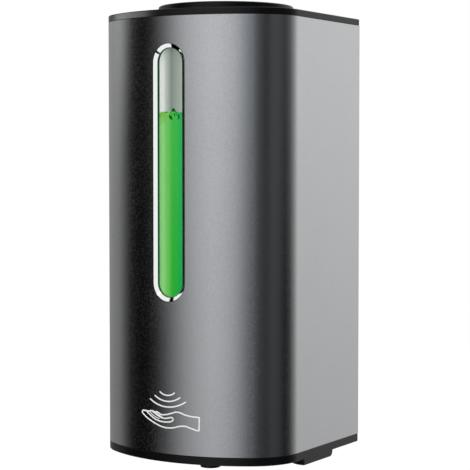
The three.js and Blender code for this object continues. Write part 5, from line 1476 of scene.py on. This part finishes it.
class DISPENSER_OT_cells(bpy.types.Operator):
    """Make the four cells"""
    bl_idname = "dispenser.cells"
    bl_label = "Cells"

    def execute(self, context):
        build_cells()
        return {"FINISHED"}


class DISPENSER_OT_screws(bpy.types.Operator):
    """Make the screws that show"""
    bl_idname = "dispenser.screws"
    bl_label = "Screws"

    def execute(self, context):
        build_screws()
        return {"FINISHED"}


class DISPENSER_OT_sign(bpy.types.Operator):
    """Print the sign on the front"""
    bl_idname = "dispenser.sign"
    bl_label = "Printed sign"

    def execute(self, context):
        build_sign()
        return {"FINISHED"}


class DISPENSER_OT_inner_parts(bpy.types.Operator):
    """Give the inner CAD parts their finishes"""
    bl_idname = "dispenser.inner_parts"
    bl_label = "Inner parts"

    def execute(self, context):
        dress_inner_parts()
        return {"FINISHED"}


OPERATORS = [
    DISPENSER_OT_sleeve, DISPENSER_OT_covers, DISPENSER_OT_bracket,
    DISPENSER_OT_window, DISPENSER_OT_soap, DISPENSER_OT_filler, DISPENSER_OT_underside,
    DISPENSER_OT_battery_door, DISPENSER_OT_cells, DISPENSER_OT_screws, DISPENSER_OT_sign,
    DISPENSER_OT_inner_parts, DISPENSER_OT_stage,
]


class DISPENSER_PT_sidebar(bpy.types.Panel):
    """Lists the dispenser's sizes, colours and pieces"""
    bl_idname = "DISPENSER_PT_sidebar"
    bl_label = "Soap dispenser"
    bl_space_type = "VIEW_3D"
    bl_region_type = "UI"
    bl_category = "Dispenser"

    def draw(self, context):
        for group in (context.scene.dispenser_sizes, context.scene.dispenser_colours):
            column = self.layout.column(align=True)
            for name in type(group).__annotations__:
                column.prop(group, name)
        for operator in OPERATORS:
            self.layout.operator(operator.bl_idname)


CLASSES = [DispenserSizes, DispenserColours, *OPERATORS, DISPENSER_PT_sidebar]


def register():
    for cls in CLASSES:
        bpy.utils.register_class(cls)
    bpy.types.Scene.dispenser_sizes = PointerProperty(type=DispenserSizes)
    bpy.types.Scene.dispenser_colours = PointerProperty(type=DispenserColours)


def unregister():
    del bpy.types.Scene.dispenser_colours
    del bpy.types.Scene.dispenser_sizes
    for cls in reversed(CLASSES):
        bpy.utils.unregister_class(cls)


def main():
    register()
    for operator in OPERATORS:
        group, name = operator.bl_idname.split(".")
        getattr(getattr(bpy.ops, group), name)()


if __name__ == "__main__":
    main()
